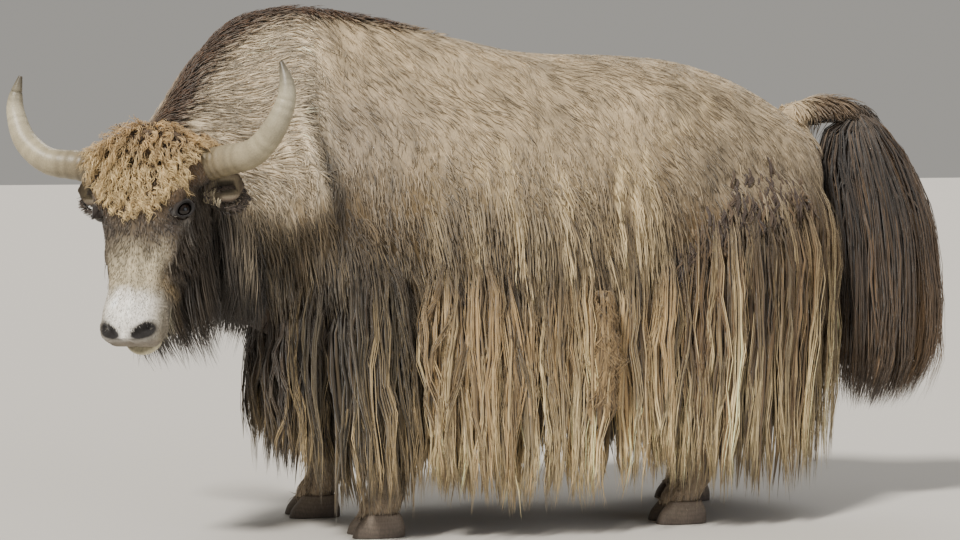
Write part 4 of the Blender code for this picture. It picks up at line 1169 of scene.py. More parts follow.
grownHair("crest", crestHair, onCrest(faceMiddles) * (1 - onIt) * (height > 0.98))


# Long coat: curtains of locks. Rows along each root line: x and y to aim at, height of the root, the way out
# of the body in degrees (0 is the left, 90 the front), height of the tips. Tiers from the inmost: locks for
# each metre of the root line, how far their roots are moved up or down, how far they stand out. Hues: the
# strands, their tips, shares added to darkness and paleness

curtains = {
    "flank": {
        "from": 0.4,  # how far outside a root is sought
        "rows": [
            (0.32, -0.372, 0.640, 22, 0.130),
            (0.33, -0.320, 0.640, 8, 0.100),
            (0.34, -0.190, 0.645, 2, 0.080),
            (0.34, 0.000, 0.645, -2, 0.078),
            (0.33, 0.270, 0.660, -6, 0.110),
        ],
        "tiers": [(30, -0.060, 0.018), (34, -0.030, 0.032), (38, 0.000, 0.044), (42, 0.050, 0.050)],
        "hues": ("skirt", "skirtTips", 0.00, 0.05),
    },
    "foreleg": {
        "from": 0.10,
        "rows": [
            (0.15, -0.610, 0.500, 112, 0.200),
            (0.20, -0.620, 0.550, 76, 0.110),
            (0.26, -0.575, 0.590, 36, 0.070),
            (0.28, -0.510, 0.610, 4, 0.060),
            (0.27, -0.445, 0.620, -20, 0.085),
            (0.23, -0.405, 0.600, -52, 0.140),
        ],
        "tiers": [(34, -0.060, 0.012), (36, -0.020, 0.026), (38, 0.010, 0.036), (36, 0.070, 0.040)],
        # the extra darkness of this curtain is partly painted shadow of the head
        "hues": ("forelegHair", "forelegTips", 0.20, -0.05),
    },
    "thigh": {
        "from": 0.4,
        "rows": [
            (0.32, 0.225, 0.660, 8, 0.150),
            (0.33, 0.320, 0.750, 0, 0.095),
            (0.33, 0.430, 0.850, -4, 0.075),
            (0.30, 0.530, 0.900, -14, 0.075),
            (0.25, 0.610, 0.900, -34, 0.085),
            (0.17, 0.690, 0.860, -62, 0.105),
            (0.11, 0.720, 0.820, -80, 0.135),
        ],
        "tiers": [(28, -0.200, 0.018), (30, -0.110, 0.030), (36, -0.040, 0.042), (38, 0.015, 0.050)],
        "hues": ("thigh", "skirtTips", 0.10, 0.02),
    },
    "chest": {
        "from": 0,  # sought from below
        "rows": [
            (0.03, -0.745, 0.400, 80, 0.290),
            (0.09, -0.740, 0.400, 55, 0.240),
            (0.14, -0.715, 0.400, 30, 0.195),
            (0.17, -0.670, 0.400, 15, 0.165),
            (0.19, -0.610, 0.400, 10, 0.140),
        ],
        "tiers": [(44, -0.030, 0.010), (46, 0.040, 0.020), (46, 0.110, 0.030)],
        # the extra darkness of this curtain is partly painted shadow of the head
        "hues": ("chest", "forelegTips", 0.25, -0.08),
    },
}
inner = {"strands": 4, "clumps": 4, "broad": (0.0060, 0.0100), "fine": (0.001, 0.002), "spread": 0.022,
         "stations": 7, "tiers": 2}
outer = {"strands": 24, "clumps": 5, "broad": (0.0026, 0.0050), "fine": (0.0007, 0.0016), "spread": 0.030,
         "stations": 10}
# follow: share of the foot's step that hair over a leg takes; roots: up and down from their line; tips:
# spread of their heights, and how far their lowest lie under the row's
fall = {"rise": 0.3, "wave": 0.010, "follow": 0.5, "roots": (-0.05, 0.06), "tips": (0.024, 0.025)}
strandWays = {
    "spread": (0.6, 1.3),  # from lock to lock, times the spread of its kind
    "tight": (1.2, 3.5),  # some locks draw together early, some only at the tip
    "twist": 2.0,  # spread of the turn from root to tip, in radians
    "wave": (0.0020, 0.0075),
    "bends": (26, 46),  # radians of the wave for each metre
    "loose": 0.0050,
    "frizz": 0.0007,
    "stray": (0.014, 0.12),  # how far stray strands leave the lock, their share of all
    "clumpEnds": (0.90, 1.0),
    "strandEnds": (0.93, 1.02),
    "deep": (0.20, 0.08),  # spread from clump to clump, from strand to strand
    "pale": (0.16, 0.20, 0.24),  # from lock to lock, from clump to clump, from strand to strand
    "tone": (0.17, 0.20, 0.15),  # in the same order
}
stepsWith = {"foreleg": "fore", "thigh": "hind"}


def cast(start, way):
    # where a line from the start meets the skin, or the nearest place to it
    hit = surface.ray_cast(Vector(start), Vector(way), 0.8)[0]
    if hit is None:
        hit = surface.find_nearest(Vector(np.asarray(start) + 0.4 * unit(way)))[0]
    return np.array(hit)


def hang(roots, outs, tips, bulge, phase, step, stations):
    # the middle lines of locks that leave the skin, bend over and hang down to the height of their tips
    s = np.linspace(0, 1, stations)[None, :]
    along = aroundBody(outs)
    z = roots[:, 2, None] + (tips - roots[:, 2])[:, None] * s**1.1
    lift = bulge[:, None] * np.sin(np.minimum(s / fall["rise"], 1) * math.pi / 2) - 0.006 * (s == 0)
    grow = fall["wave"] * np.minimum(1, 3 * s)
    paths = roots[:, None] + (lift + 0.4 * grow * np.cos(phase[:, None] + 11 * s))[..., None] * outs[:, None]
    paths = paths + (grow * np.sin(phase[:, None] + 8.0 * s))[..., None] * along[:, None]
    paths[..., 1] += step * (stance(z) - stance(roots[:, 2, None]))
    paths[..., 2] = z
    return paths, along


def lockTints(places, stations, names, deep, pale, tone):
    # darker at the roots, with painted shade in the inner locks, bleached towards the tips
    s = np.linspace(0, 1, stations)[None, :, None]
    deep, pale, tone = deep[:, None, None], pale[:, None, None], tone[:, None, None]
    colours = markings(places)[:, None] * 0.8
    for name, share in (
        (names[0], fade(s, 0.0, 0.30)),
        (names[1], np.clip(fade(s, 0.35, 1.0) * 0.62 + pale * (0.35 + 0.65 * fade(s, 0.05, 0.6)), 0, 0.92)),
        ("skirtDarkAndShade", np.clip(deep * (1 - 0.45 * s) + 0.15 * (1 - s), 0, 0.95)),
    ):
        colours = between(colours, name, share)
    return colours * tone


def curtain(name, side):
    rows = smoothRows(curtains[name]["rows"], 8)
    length = np.linalg.norm(np.diff(rows[:, :3], axis=0), axis=1).sum()
    step = legs["steps"].get((stepsWith.get(name), side), 0) * fall["follow"]
    tiers = curtains[name]["tiers"]
    groups = {"inner": [], "outer": []}
    for tier, (number, lower, bulge) in enumerate(tiers):
        count = round(number * length)
        for i in range(count):
            share = np.clip((i + 0.5 + draw.uniform(-0.45, 0.45)) / count, 0, 0.999) * (len(rows) - 1)
            x, y, z, turn, tip = rows[int(share)] + share % 1 * (rows[int(share) + 1] - rows[int(share)])
            angle = math.radians(turn if side > 0 else 180 - turn)
            out = np.array([math.cos(angle), -math.sin(angle), 0])
            rootHeight = z + lower + draw.uniform(*fall["roots"])
            start = np.array([side * x, y, rootHeight]) + curtains[name]["from"] * out
            way = -out
            if not curtains[name]["from"]:
                start = np.array([side * x, y, z]) + draw.uniform(-1, 1, 3) * (0.02, 0.03, 0)
                way = np.array((0, 0, 1))
            end = tip + abs(draw.normal(0, fall["tips"][0])) - fall["tips"][1]
            # inner tiers darker as painted shade under the outer locks; one lock in four darker in its own
            # colour
            dark = 0.75 - 0.25 * tier + draw.uniform(-0.15, 0.15) + 0.45 * (draw.random() < 0.25)
            kind = "inner" if tier < inner["tiers"] and len(tiers) > 3 else "outer"
            groups[kind].append((*cast(start, way), *out, end, bulge * draw.uniform(0.7, 1.2), dark))
    for kind, make in (("inner", inner), ("outer", outer)):
        if groups[kind]:
            hangLocks(f"{name}_{kind}_{sideNames[side]}", np.array(groups[kind]), make, step, name)


def hangLocks(label, locks, make, step, name):
    # the strands of many locks: they stick together in clumps, which twist about each lock's middle line,
    # wave and draw together at its tip
    roots, outs, tips, bulges, darks = locks[:, :3], locks[:, 3:6], locks[:, 6], locks[:, 7], locks[:, 8]
    count, strands, stations = len(locks), make["strands"], make["stations"]
    own = draw.integers(0, make["clumps"], (count, strands))
    own[:, : make["clumps"]] = np.arange(make["clumps"])  # the first strand of each clump is its broad one
    isBroad = np.tile(np.arange(strands) < make["clumps"], (count, 1))

    def perClump(values):
        return np.take_along_axis(values.reshape(count, -1), own, 1)

    size = (count, make["clumps"])
    phase = draw.uniform(0, oneTurn, count)
    middle, along = hang(roots, outs, tips, bulges, phase, step, stations)
    s = np.linspace(0, 1, stations)
    spread = make["spread"] * draw.uniform(*strandWays["spread"], (count, 1, 1))
    tight = draw.uniform(*strandWays["tight"], (count, 1, 1))
    narrow = (0.9 + 0.3 * np.sin(math.pi * np.minimum(1, s * 1.4))) * (1 - 0.45 * s**tight)
    reach = perClump(np.sqrt(draw.random(size)))[..., None] * np.where(isBroad, 0.8, 1.1)[..., None]
    reach = reach * spread * narrow
    twist = strandWays["twist"]
    angle = perClump(draw.uniform(0, oneTurn, size))[..., None] + draw.normal(0, twist, (count, 1, 1)) * s
    wave = perClump(draw.uniform(*strandWays["wave"], size))[..., None]
    wave = wave * np.where(isBroad, 0.8, 1.15)[..., None]
    turn = perClump(draw.uniform(0, oneTurn, size))[..., None] + draw.normal(0, 0.35, (count, strands, 1))
    long = (roots[:, 2] - tips)[:, None, None]
    turn = turn + perClump(draw.uniform(*strandWays["bends"], size))[..., None] * long * s
    loose = draw.normal(0, strandWays["loose"], (count, strands, 1)) * (1 - 0.35 * s)
    loose = loose + draw.normal(0, strandWays["frizz"], (count, strands, stations))
    loose = loose * np.where(isBroad, 0.2, 1)[..., None]
    far, shareOfAll = strandWays["stray"]
    stray = draw.normal(0, far, (count, strands, 1)) * (draw.random((count, strands, 1)) < shareOfAll) * s**2
    away = (wave * np.sin(turn) + loose) * np.minimum(1, 4 * s) + stray
    paths = middle[:, None] + (reach * np.cos(angle) + away)[..., None] * along[:, None, None]
    lifted = 0.55 * reach * np.sin(angle) + (0.7 * wave * np.cos(turn) + 0.5 * loose) * np.minimum(1, 4 * s)
    paths = paths + lifted[..., None] * outs[:, None, None]
    ends = perClump(draw.uniform(*strandWays["clumpEnds"], size))
    ends = ends * draw.uniform(*strandWays["strandEnds"], (count, strands))
    top = roots[:, None, None, 2]
    paths[..., 2] = top + (paths[..., 2] - top) * ends[..., None]
    paths = paths.reshape(-1, stations, 3)
    places, ups = np.repeat(roots, strands, 0), np.repeat(outs, strands, 0)
    half = np.where(isBroad, draw.uniform(*make["broad"], own.shape), draw.uniform(*make["fine"], own.shape))
    half = half.reshape(-1, 1) * (0.12 + 0.88 * fade(s, 0, 0.35)) * (1 - 0.85 * s**4)
    main, tipHue, darker, paler = curtains[name]["hues"]
    # painted shade: strands on the inner side of a lock are darker
    innerShade = np.clip(-np.sin(angle[..., 0]) * reach[..., 2] / make["spread"], -1, 1)
    ofClump, ofStrand = strandWays["deep"]
    deep = darks[:, None] + darker + 0.35 * innerShade + perClump(draw.normal(0, ofClump, size))
    deep = np.clip(deep + draw.normal(0, ofStrand, own.shape), 0, 1)
    ofLock, ofClump, ofStrand = strandWays["pale"]
    pale = draw.normal(paler, ofLock, (count, 1)) + perClump(draw.normal(0, ofClump, size))
    # paler fine strands outside and less pale broad ones inside: partly painted highlight and painted shade
    pale = pale + draw.normal(0.10, ofStrand, own.shape) - 0.22 * isBroad
    ofLock, ofClump, ofStrand = strandWays["tone"]
    tone = draw.normal(1.05, ofLock, (count, 1)) * perClump(draw.normal(1, ofClump, size))
    tone = np.clip(tone * draw.normal(1, ofStrand, own.shape), 0.45, 1.8)
    tints = lockTints(places, stations, (main, tipHue), deep.ravel(), pale.ravel(), tone.ravel())
    addCoat(label, paths, half, 0.30, ups, tints, "coat" if name == "chest" else "long_coat", "locks")


for side in sideNames:
    for name in curtains:
        curtain(name, side)


# Hair of middle length that runs over into the curtains

# length: near the back, low down; gold: share of bleached streaks
middling = {
    "flank_hair": {"tufts": 6200, "length": (0.045, 0.210), "gold": 0.95},
    "shoulder_hair": {"tufts": 2800, "length": (0.040, 0.110), "gold": 0.25},
    "halfWidth": (0.0014, 0.0026),
    "stations": 5,
    "spring": 0.012,
    "contrast": 0.24,
}


def middleHair(name, weight):
    make = middling[name]
    count = make["tufts"]
    places, outs = scatter(count, weight)
    s = np.linspace(0, 1, middling["stations"])[None, :, None]
    low = fade(1.02 - places[:, 2], 0, 0.38)
    short, long = make["length"]
    length = (short + (long - short) * low) * draw.uniform(0.7, 1.2, count)
    ways = lie(places, outs)
    down = unit(ways * 0.8 + np.array((0, 0.03, -1)))
    paths = places[:, None] + (ways[:, None] * (1 - s) + down[:, None] * s) * s * length[:, None, None]
    lift = (middling["spring"] * 0.4 + 0.06 * length)[:, None, None]
    lift = lift * np.sin(np.minimum(1, s * 1.6) * math.pi / 2)
    phase = draw.uniform(0, oneTurn, (count, 1, 1))
    wave = 0.0035 * np.sin(phase + (8 + 50 * length[:, None, None]) * s) * s
    paths = paths + outs[:, None] * (lift - 0.003 + 0.5 * wave) + np.cross(outs, ways)[:, None] * wave
    paths = np.concatenate([paths[:, :1], settle(paths[:, 1:], 0.004 + 0 * paths[:, 1:, 0], exact=False)], 1)
    half = draw.uniform(*middling["halfWidth"], (count, 1)) * (1 - 0.75 * s[..., 0] ** 2)
    tone = draw.normal(1, middling["contrast"], (count, 1, 1)) * (0.78 + 0.30 * s)
    patch = softNoise(places, (0.06, 0.03, 0.12))
    golden = make["gold"] * fade(patch, 0.35, 0.75) * draw.uniform(0.2, 1.2, count)
    golden = golden[:, None, None] * (0.4 + 0.6 * s)
    golden = np.clip(golden * (0.35 + 0.65 * low[:, None, None]), 0, 0.9)
    addCoat(name, paths, half, 0.32, outs, between(markings(places)[:, None], "streak", golden) * tone)


behind = fade(along, -0.44, -0.36)
middle = bodyWeight * fade(1.06 - height, 0, 0.30) * fade(height, 0.60, 0.70)
thighRows = np.array(curtains["thigh"]["rows"])
overThigh = height - np.interp(along, thighRows[:, 1], thighRows[:, 2])
middle = middle * (1 - 0.9 * fade(along, 0.20, 0.30) * fade(overThigh, -0.02, 0.05))
middleHair("flank_hair", middle * behind)
middleHair("shoulder_hair", middle * (1 - behind))


# Dark curls where the thigh's curtain starts

curls = {"locks": 120, "strands": 6, "stations": 8, "turns": (0.6, 1.5), "radius": (0.004, 0.013),
         "drop": (0.04, 0.10), "halfWidth": (0.0015, 0.0030)}


def thighCurls(side):
    count, strands = curls["locks"], curls["strands"]

    def perCurl(low, high):
        # one random value for all strands of a curl
        return np.repeat(draw.uniform(low, high, count), strands)[:, None]

    rows = smoothRows(curtains["thigh"]["rows"], 8)[2:36]
    pick = rows[draw.integers(0, len(rows), count)]
    angle = np.radians(np.where(side > 0, pick[:, 3], 180 - pick[:, 3]))
    ways = np.stack([np.cos(angle), -np.sin(angle), 0 * angle], 1)
    high = pick[:, 2] + draw.normal(0.0, 0.030, count)
    starts = np.stack([side * pick[:, 0], pick[:, 1], high], 1) + curtains["thigh"]["from"] * ways
    roots = np.repeat([cast(start, -way) for start, way in zip(starts, ways)], strands, 0)
    outs = np.repeat(ways, strands, 0)
    n = len(roots)
    s = np.linspace(0, 1, curls["stations"])[None, :]
    turns = perCurl(*curls["turns"])
    first = perCurl(0, oneTurn) + draw.normal(0, 0.35, (n, 1))
    radius = perCurl(*curls["radius"]) * draw.uniform(0.5, 1.2, (n, 1))
    turn = first + turns * oneTurn * s
    along = aroundBody(outs)
    drop = perCurl(*curls["drop"]) * s
    paths = roots[:, None] + (0.010 + 0.022 * s + radius * np.sin(turn) * s)[..., None] * outs[:, None]
    paths = paths + (radius * np.cos(turn) * np.minimum(1, 3 * s))[..., None] * along[:, None]
    paths[..., 2] -= drop
    half = draw.uniform(*curls["halfWidth"], (n, 1)) * (1 - 0.7 * s**2)
    share = np.clip(perCurl(-0.4, 0.7) + 0.15 * s, 0, 0.8)[..., None]
    tints = between(hue["curl"], "thigh", share)
    addCoat(f"curls_{sideNames[side]}", paths, half, 0.4, outs, tints, "long_coat")


for side in sideNames:
    thighCurls(side)


# One felted lock that hangs from the left flank

felt = {"x": 0.380, "y": 0.055, "top": 0.640, "bottom": 0.265, "width": 0.036, "depth": 0.018,
        "strands": 430, "broad": 110, "stations": 8, "broadHalf": (0.0055, 0.0085), "fineHalf": 0.0010}


def feltedLock():
    count, stations = felt["strands"], felt["stations"]
    s = np.linspace(0, 1, stations)
    isBroad = (np.arange(count) < felt["broad"])[:, None]
    start = draw.uniform(-0.05, 0.70, count)[:, None]
    share = np.clip(start + np.where(isBroad, draw.uniform(0.35, 0.6, (count, 1)), 0.16) * s, 0, 1)
    ragged = 1 + 0.16 * np.sin(17 * share) + 0.10 * np.sin(41 * share)
    body = (0.50 + 0.50 * fade(share, 0, 0.35)) * (1 - 0.50 * fade(share, 0.80, 1)) * ragged
    twist = draw.normal(0, np.where(isBroad, 0.35, 1.0)) * s
    turn = draw.uniform(0, oneTurn, (count, 1)) + twist
    frizz = draw.uniform(0.95, 1.30, (count, 1))
    frizz = frizz + 0.16 * np.sin(draw.uniform(0, oneTurn, (count, 1)) + 9 * s)
    reach = np.where(isBroad, 0.86, frizz)
    x = felt["x"] + felt["depth"] * body * np.cos(turn) * reach
    y = felt["y"] + 0.010 * np.sin(4 * share) + felt["width"] * body * np.sin(turn) * reach
    z = felt["top"] + (felt["bottom"] - felt["top"]) * share
    outs = unit(np.stack([np.cos(turn[:, 0]), np.sin(turn[:, 0]), 0 * turn[:, 0]], 1))
    half = np.where(isBroad, draw.uniform(*felt["broadHalf"], (count, 1)), felt["fineHalf"])
    half = half * (1 - 0.6 * np.abs(2 * s - 1) ** 3)
    share = draw.uniform(0.35, 0.95, (count, 1, 1)) * np.where(isBroad, 1, 0.7)[..., None]
    tints = (hue["skirt"] * (1.15 - share) + hue["skirtDarkAndShade"] * share) * np.ones((1, stations, 1))
    addCoat("felted_lock", np.stack([x, y, z], 2), half, 0.35, outs, tints, "long_coat", "locks")


feltedLock()


# Tail: a switch that falls in a broad brush from the arch of the dock

switch = {  # height, middle, half width, reach backwards, reach forwards
    "rows": [
        (1.140, 0.900, 0.040, 0.030, 0.060),
        (1.100, 0.920, 0.065, 0.062, 0.110),
        (1.050, 0.935, 0.085, 0.090, 0.140),
        (0.990, 0.948, 0.098, 0.115, 0.155),
        (0.920, 0.965, 0.108, 0.132, 0.160),
        (0.850, 0.985, 0.120, 0.150, 0.170),
        (0.760, 1.000, 0.130, 0.162, 0.176),
        (0.560, 1.015, 0.135, 0.178, 0.180),
        (0.400, 1.010, 0.125, 0.168, 0.170),
        (0.300, 0.985, 0.100, 0.135, 0.140),
        (0.245, 0.965, 0.055, 0.080, 0.085),
    ],
    "strands": 2500,
    "stations": 9,
    "locks": 110,
    "halfWidths": (0.0014, 0.0024, 0.0046),
    "widthShares": (0.45, 0.35, 0.2),
}


def makeSwitch():
    count, stations = switch["strands"], switch["stations"]
    lockAngle = draw.uniform(0, 2 * math.pi, switch["locks"])
    lockReach = np.sqrt(draw.uniform(0.08, 1, switch["locks"]))
    lockTone = draw.normal(1, 0.35, switch["locks"])
    lockBrown = draw.normal(0.02, 0.16, switch["locks"]) + 0.35 * fade(np.sin(lockAngle), 0.1, 0.9)
    lockBrown = np.clip(lockBrown, 0, 0.6)
    own = draw.integers(0, switch["locks"], count)
    angle = lockAngle[own] + draw.normal(0, 0.10, count)
    reach = np.clip(lockReach[own] + draw.normal(0, 0.05, count), 0.03, 1)
    sine, cosine = np.sin(angle), np.cos(angle)
    dockRows = np.array(dock["rows"])[::-1]
    # roots go along the dock: over the arch for the hair in front, down its hanging end for the rest
    where = np.clip(draw.random(count) ** 1.3 * 0.75 + 0.12 * (1 - sine), 0, 1)
    line = smoothRows(dockRows[:5], 10)
    root = line[((1 - where) * (len(line) - 1)).astype(int)]
    rootY, rootZ = root[:, 0], root[:, 1] + 0.02
    end = 0.255 + 0.10 * reach**3 * draw.random(count) + abs(draw.normal(0, 0.045, count))
    table = np.array(switch["rows"])[::-1]
    s = np.linspace(0, 1, stations)
    z = rootZ[:, None] + (end - rootZ)[:, None] * s**1.25
    mid, half, back, front = (np.interp(z, table[:, 0], table[:, i]) for i in (1, 2, 3, 4))
    grow = np.sin(np.minimum(1, (rootZ[:, None] - z + 0.004) / 0.10) * math.pi / 2)
    x = cosine[:, None] * half * reach[:, None] * grow
    y = mid + sine[:, None] * np.where(sine[:, None] > 0, back, front) * reach[:, None]
    y = rootY[:, None] * (1 - grow) + y * grow
    phase = (lockAngle * 7)[own][:, None] + draw.normal(0, 0.4, (count, 1))
    swing = draw.normal(0, 0.016, switch["locks"])[own][:, None] * s
    loose = draw.normal(0, 0.010, (count, 2, 1)) * (draw.random((count, 1, 1)) < 0.3) * s**2
    x = x + (0.010 * np.sin(phase + 11 * s) + swing) * s + loose[:, 0] + draw.normal(0, 0.0022, z.shape)
    y = y + (0.009 * np.cos(phase + 12 * s) + swing) * s + loose[:, 1] + draw.normal(0, 0.0022, z.shape)
    paths = np.stack([x, y, z], 2)
    out = unit(np.stack([cosine, sine, 0 * sine], 1))
    widths = draw.choice(switch["halfWidths"], (count, 1), p=switch["widthShares"]) * (1 - 0.85 * s**3)
    tone = (lockTone[own] * draw.normal(1, 0.15, count))[:, None, None]
    brown = lockBrown[own][:, None] + draw.normal(0.05, 0.12, count)[:, None] + 0.5 * s**2.5
    colours = between(hue["tail"], "tailTips", np.clip(brown, 0, 1)[..., None]) * np.clip(tone, 0.45, 1.6)
    top = fade(z, 1.06, 1.12)[..., None] * 0.6
    addCoat("tail", paths, widths, 0.35, out, between(colours, "dock", top), "tail_coat", "locks")


makeSwitch()
dockHair = {"tufts": 1100, "length": (0.040, 0.085), "halfWidth": (0.0014, 0.0026), "lift": 0.34,
            "stations": 4, "contrast": 0.12, "shade": 0.2}
grownHair("dock_hair", dockHair, (1 - onIt) * (along > 0.72) * (height > 1.02))


# Head: curls over poll and forehead, small tufts on the face, longer hair on cheek and jaw

# from, to and reach: where it grows, from the poll forwards and to either side; halfWidth: of one strand
forelock = {"ringlets": 620, "strands": 7, "stations": 7, "length": (0.030, 0.062),
            "radius": (0.0035, 0.0080), "turns": (0.7, 1.4), "from": -0.085, "to": 0.165, "reach": 0.160,
            "halfWidth": (0.0006, 0.0012)}


def makeForelock():
    count, strands, stations = forelock["ringlets"], forelock["strands"], forelock["stations"]
    roots, outs = [], []
    while len(roots) < count:
        across = draw.uniform(-1, 1)
        distance = draw.uniform(forelock["from"], forelock["to"] * (1 - 0.85 * abs(across) ** 2.2))
        sideways = forelock["reach"] * across
        start = onHead((sideways * 1.1, distance - 0.10 * float(fade(0.05 - distance, 0, 0.10)), 0.35))
        way = onHead((sideways * 0.9, distance, 0)) - start
        hit, normal, _, _ = surface.ray_cast(Vector(start), Vector(way), 0.8)
        if hit is None:
            continue
        q = inHead(np.array([hit]))[0]
        if abs(q[0]) < 0.165 and q[2] > -0.07:  # on the head, not on the neck behind it
            roots.append(np.array(hit))
            outs.append(np.array(normal))
    roots, outs = np.repeat(roots, strands, 0), np.repeat(outs, strands, 0)
    n = len(roots)
    q = inHead(roots)
    s = np.linspace(0, 1, stations)[None, :]

    def perCurl(values):
        return np.repeat(values, strands, 0)

    fan = np.stack([0.9 * q[:, 0] / 0.16, np.ones(n), 0 * q[:, 0]], 1) * (1, -1, 1)
    ways = unit(fan @ headTurn.T + np.array((0, 0, -0.4)) + perCurl(draw.normal(0, 0.30, (count, 3))))
    ways = unit(flattened(ways, outs))
    aside = np.cross(outs, ways)
    ends = fade(q[:, 1], 0.16, 0.02)[:, None]
    length = perCurl(draw.uniform(*forelock["length"], count))[:, None] * (0.6 + 0.4 * ends)
    radius = perCurl(draw.uniform(*forelock["radius"], count))[:, None]
    turns = perCurl(draw.uniform(*forelock["turns"], count))[:, None]
    start = perCurl(draw.uniform(0, oneTurn, count))[:, None] + draw.uniform(0, 2.4, (n, 1))
    angle = start + draw.normal(1, 0.12, (n, 1)) * turns * 2 * math.pi * s
    radius = radius * draw.uniform(0.6, 1.2, (n, 1))
    lift = 0.003 + (0.008 + 0.014 * ends) * np.sin(np.minimum(1, s * 1.4) * math.pi / 2) - 0.006 * s
    grow = np.minimum(1, 3.5 * s) * (1 - 0.25 * s)
    length = length * draw.uniform(0.8, 1.1, (n, 1))
    paths = (roots + draw.normal(0, 0.0025, (n, 3)))[:, None] + ways[:, None] * (length * s)[..., None]
    paths = paths + outs[:, None] * (lift - 0.005 * (s == 0) + radius * np.cos(angle) * grow)[..., None]
    paths = paths + aside[:, None] * (1.3 * radius * np.sin(angle) * grow)[..., None]
    half = draw.uniform(*forelock["halfWidth"], (n, 1)) * (1 - 0.6 * s**2)
    tone = perCurl(draw.normal(1, 0.13, count)) * draw.normal(1, 0.10, n)
    top = fade(-q[:, 1], -0.04, 0.04)[:, None, None] * 0.6
    gold = between(hue["forelock"], "forelockTop", top)
    share = fade(s, 0.0, 0.45)[..., None] * perCurl(draw.normal(0.85, 0.18, count))[:, None, None]
    share = np.clip(share, 0, 1)
    tints = (hue["forelockDeep"] * (1 - share) + gold * share) * tone[:, None, None]
    addCoat("forelock", paths, half, 0.4, outs, tints)


makeForelock()


def faceBare(points):
    # 1 where the face has no hair: nose pad, nostrils, lips, eyes
    q = inHead(points)
    bare = 0.6 * near(q, (0, 0.468, -0.008), (0.030, 0.020, 0.040))
    bare += 1.3 * nostrilShape(q)
    bare += 1.4 * near(folded(q), (0.140, 0.150, 0.012), (0.030, 0.021, 0.017))
    bare += fade(q[:, 1], 0.455, 0.475)
    bare += bell(q[:, 2] - mouthLine(q), 0.008) * fade(q[:, 1], 0.36, 0.40)
    return np.clip(1.6 * bare - 0.3, 0, 1)


# length and halfWidth: where the hair is longest; it gets shorter towards the muzzle and round the eyes
faceHair = {"tufts": 9500, "length": 0.022, "halfWidth": 0.0018, "lift": 0.14, "stations": 3,
            "contrast": 0.14, "shade": 0.2}
faceQ = inHead(faceMiddles)
hairy = 1 - faceBare(faceMiddles)
places, outs = scatter(faceHair["tufts"], onIt * hairy * (1 + 0.8 * fade(faceQ[:, 1], 0.1, 0.4)))
q = inHead(places)
size = 1 - 0.55 * fade(q[:, 1], 0.16, 0.38)
size = size * (1 - 0.55 * near(folded(q), (0.13, 0.15, 0.012), (0.05, 0.06, 0.05)))
length = faceHair["length"] * size * draw.uniform(0.7, 1.3, len(q))
shortHair("face_hair", faceHair, places, outs, length, faceHair["halfWidth"] * (0.5 + 0.5 * size))


# length: near the mouth, at the back of the jaw
hanging = {
    "cheek_hair": {"tufts": 1900, "length": (0.026, 0.065)},
    "beard": {"tufts": 2700, "length": (0.050, 0.270)},
    "throat_hair": {"tufts": 1800, "length": (0.030, 0.060)},
    "halfWidth": (0.0013, 0.0024),
    "stations": 5,
    "contrast": 0.15,
}


def jawHair(name, weight):
    # hair of cheek, jaw and throat that hangs away from the skin under its own weight
    count = hanging[name]["tufts"]
    places, outs = scatter(count, weight)
    s = np.linspace(0, 1, hanging["stations"])[None, :, None]
    back = fade(0.40 - inHead(places)[:, 1], 0, 0.20)
    short, long = hanging[name]["length"]
    length = ((short + (long - short) * back) * draw.uniform(0.6, 1.15, count))[:, None, None]
    ways = lie(places, outs)
    paths = places[:, None] + (ways[:, None] * (1 - s) + np.array((0.02, 0.10, -0.95)) * s) * s * length
    paths = paths + outs[:, None] * (0.010 * np.sin(s * math.pi / 2) - 0.003)
    wave = 0.003 * np.sin(draw.uniform(0, oneTurn, (count, 1, 1)) + 6 * s) * s
    paths = paths + np.cross(outs, ways)[:, None] * wave
    half = draw.uniform(*hanging["halfWidth"], (count, 1)) * (1 - 0.75 * s[..., 0] ** 2)
    tone = draw.normal(0.95, hanging["contrast"], (count, 1, 1)) * (0.8 + 0.4 * s)
    addCoat(name, paths, half, 0.32, outs, markings(places)[:, None] * tone)


cheekWeight = onIt * fade(0.005 - faceQ[:, 2], 0, 0.05) * fade(0.36 - faceQ[:, 1], 0, 0.05)
cheekWeight = cheekWeight * fade(np.abs(faceQ[:, 0]), 0.03, 0.07) * hairy * fade(faceQ[:, 1], 0.02, 0.10)
jawHair("cheek_hair", cheekWeight)
jawHair("beard", onIt * fade(-faceQ[:, 2], 0.075, 0.105) * fade(0.42 - faceQ[:, 1], 0, 0.05))
jawHair("throat_hair", (1 - onIt) * fade(-along, 0.78, 0.86) * fade(0.98 - height, 0, 0.15))

# length: a factor on the metres that the place gives, which are more over the claws
legHair = {"tufts": 4300, "length": (0.7, 1.3), "halfWidth": (0.0018, 0.0030), "lift": 0.16, "stations": 3,
           "contrast": 0.12, "shade": 0.2}
legWeight = (1 - onIt) * fade(0.46 - height, 0, 0.06) * (1 + 1.5 * fade(0.22 - height, 0, 0.1))
grownHair("leg_hair", legHair, legWeight, lambda places: 0.026 + 0.014 * fade(0.10 - places[:, 2], 0, 0.03))


earFringe = {"tufts": 900, "stations": 4, "length": (0.012, 0.026), "halfWidth": (0.0010, 0.0018),
             "contrast": 0.15}


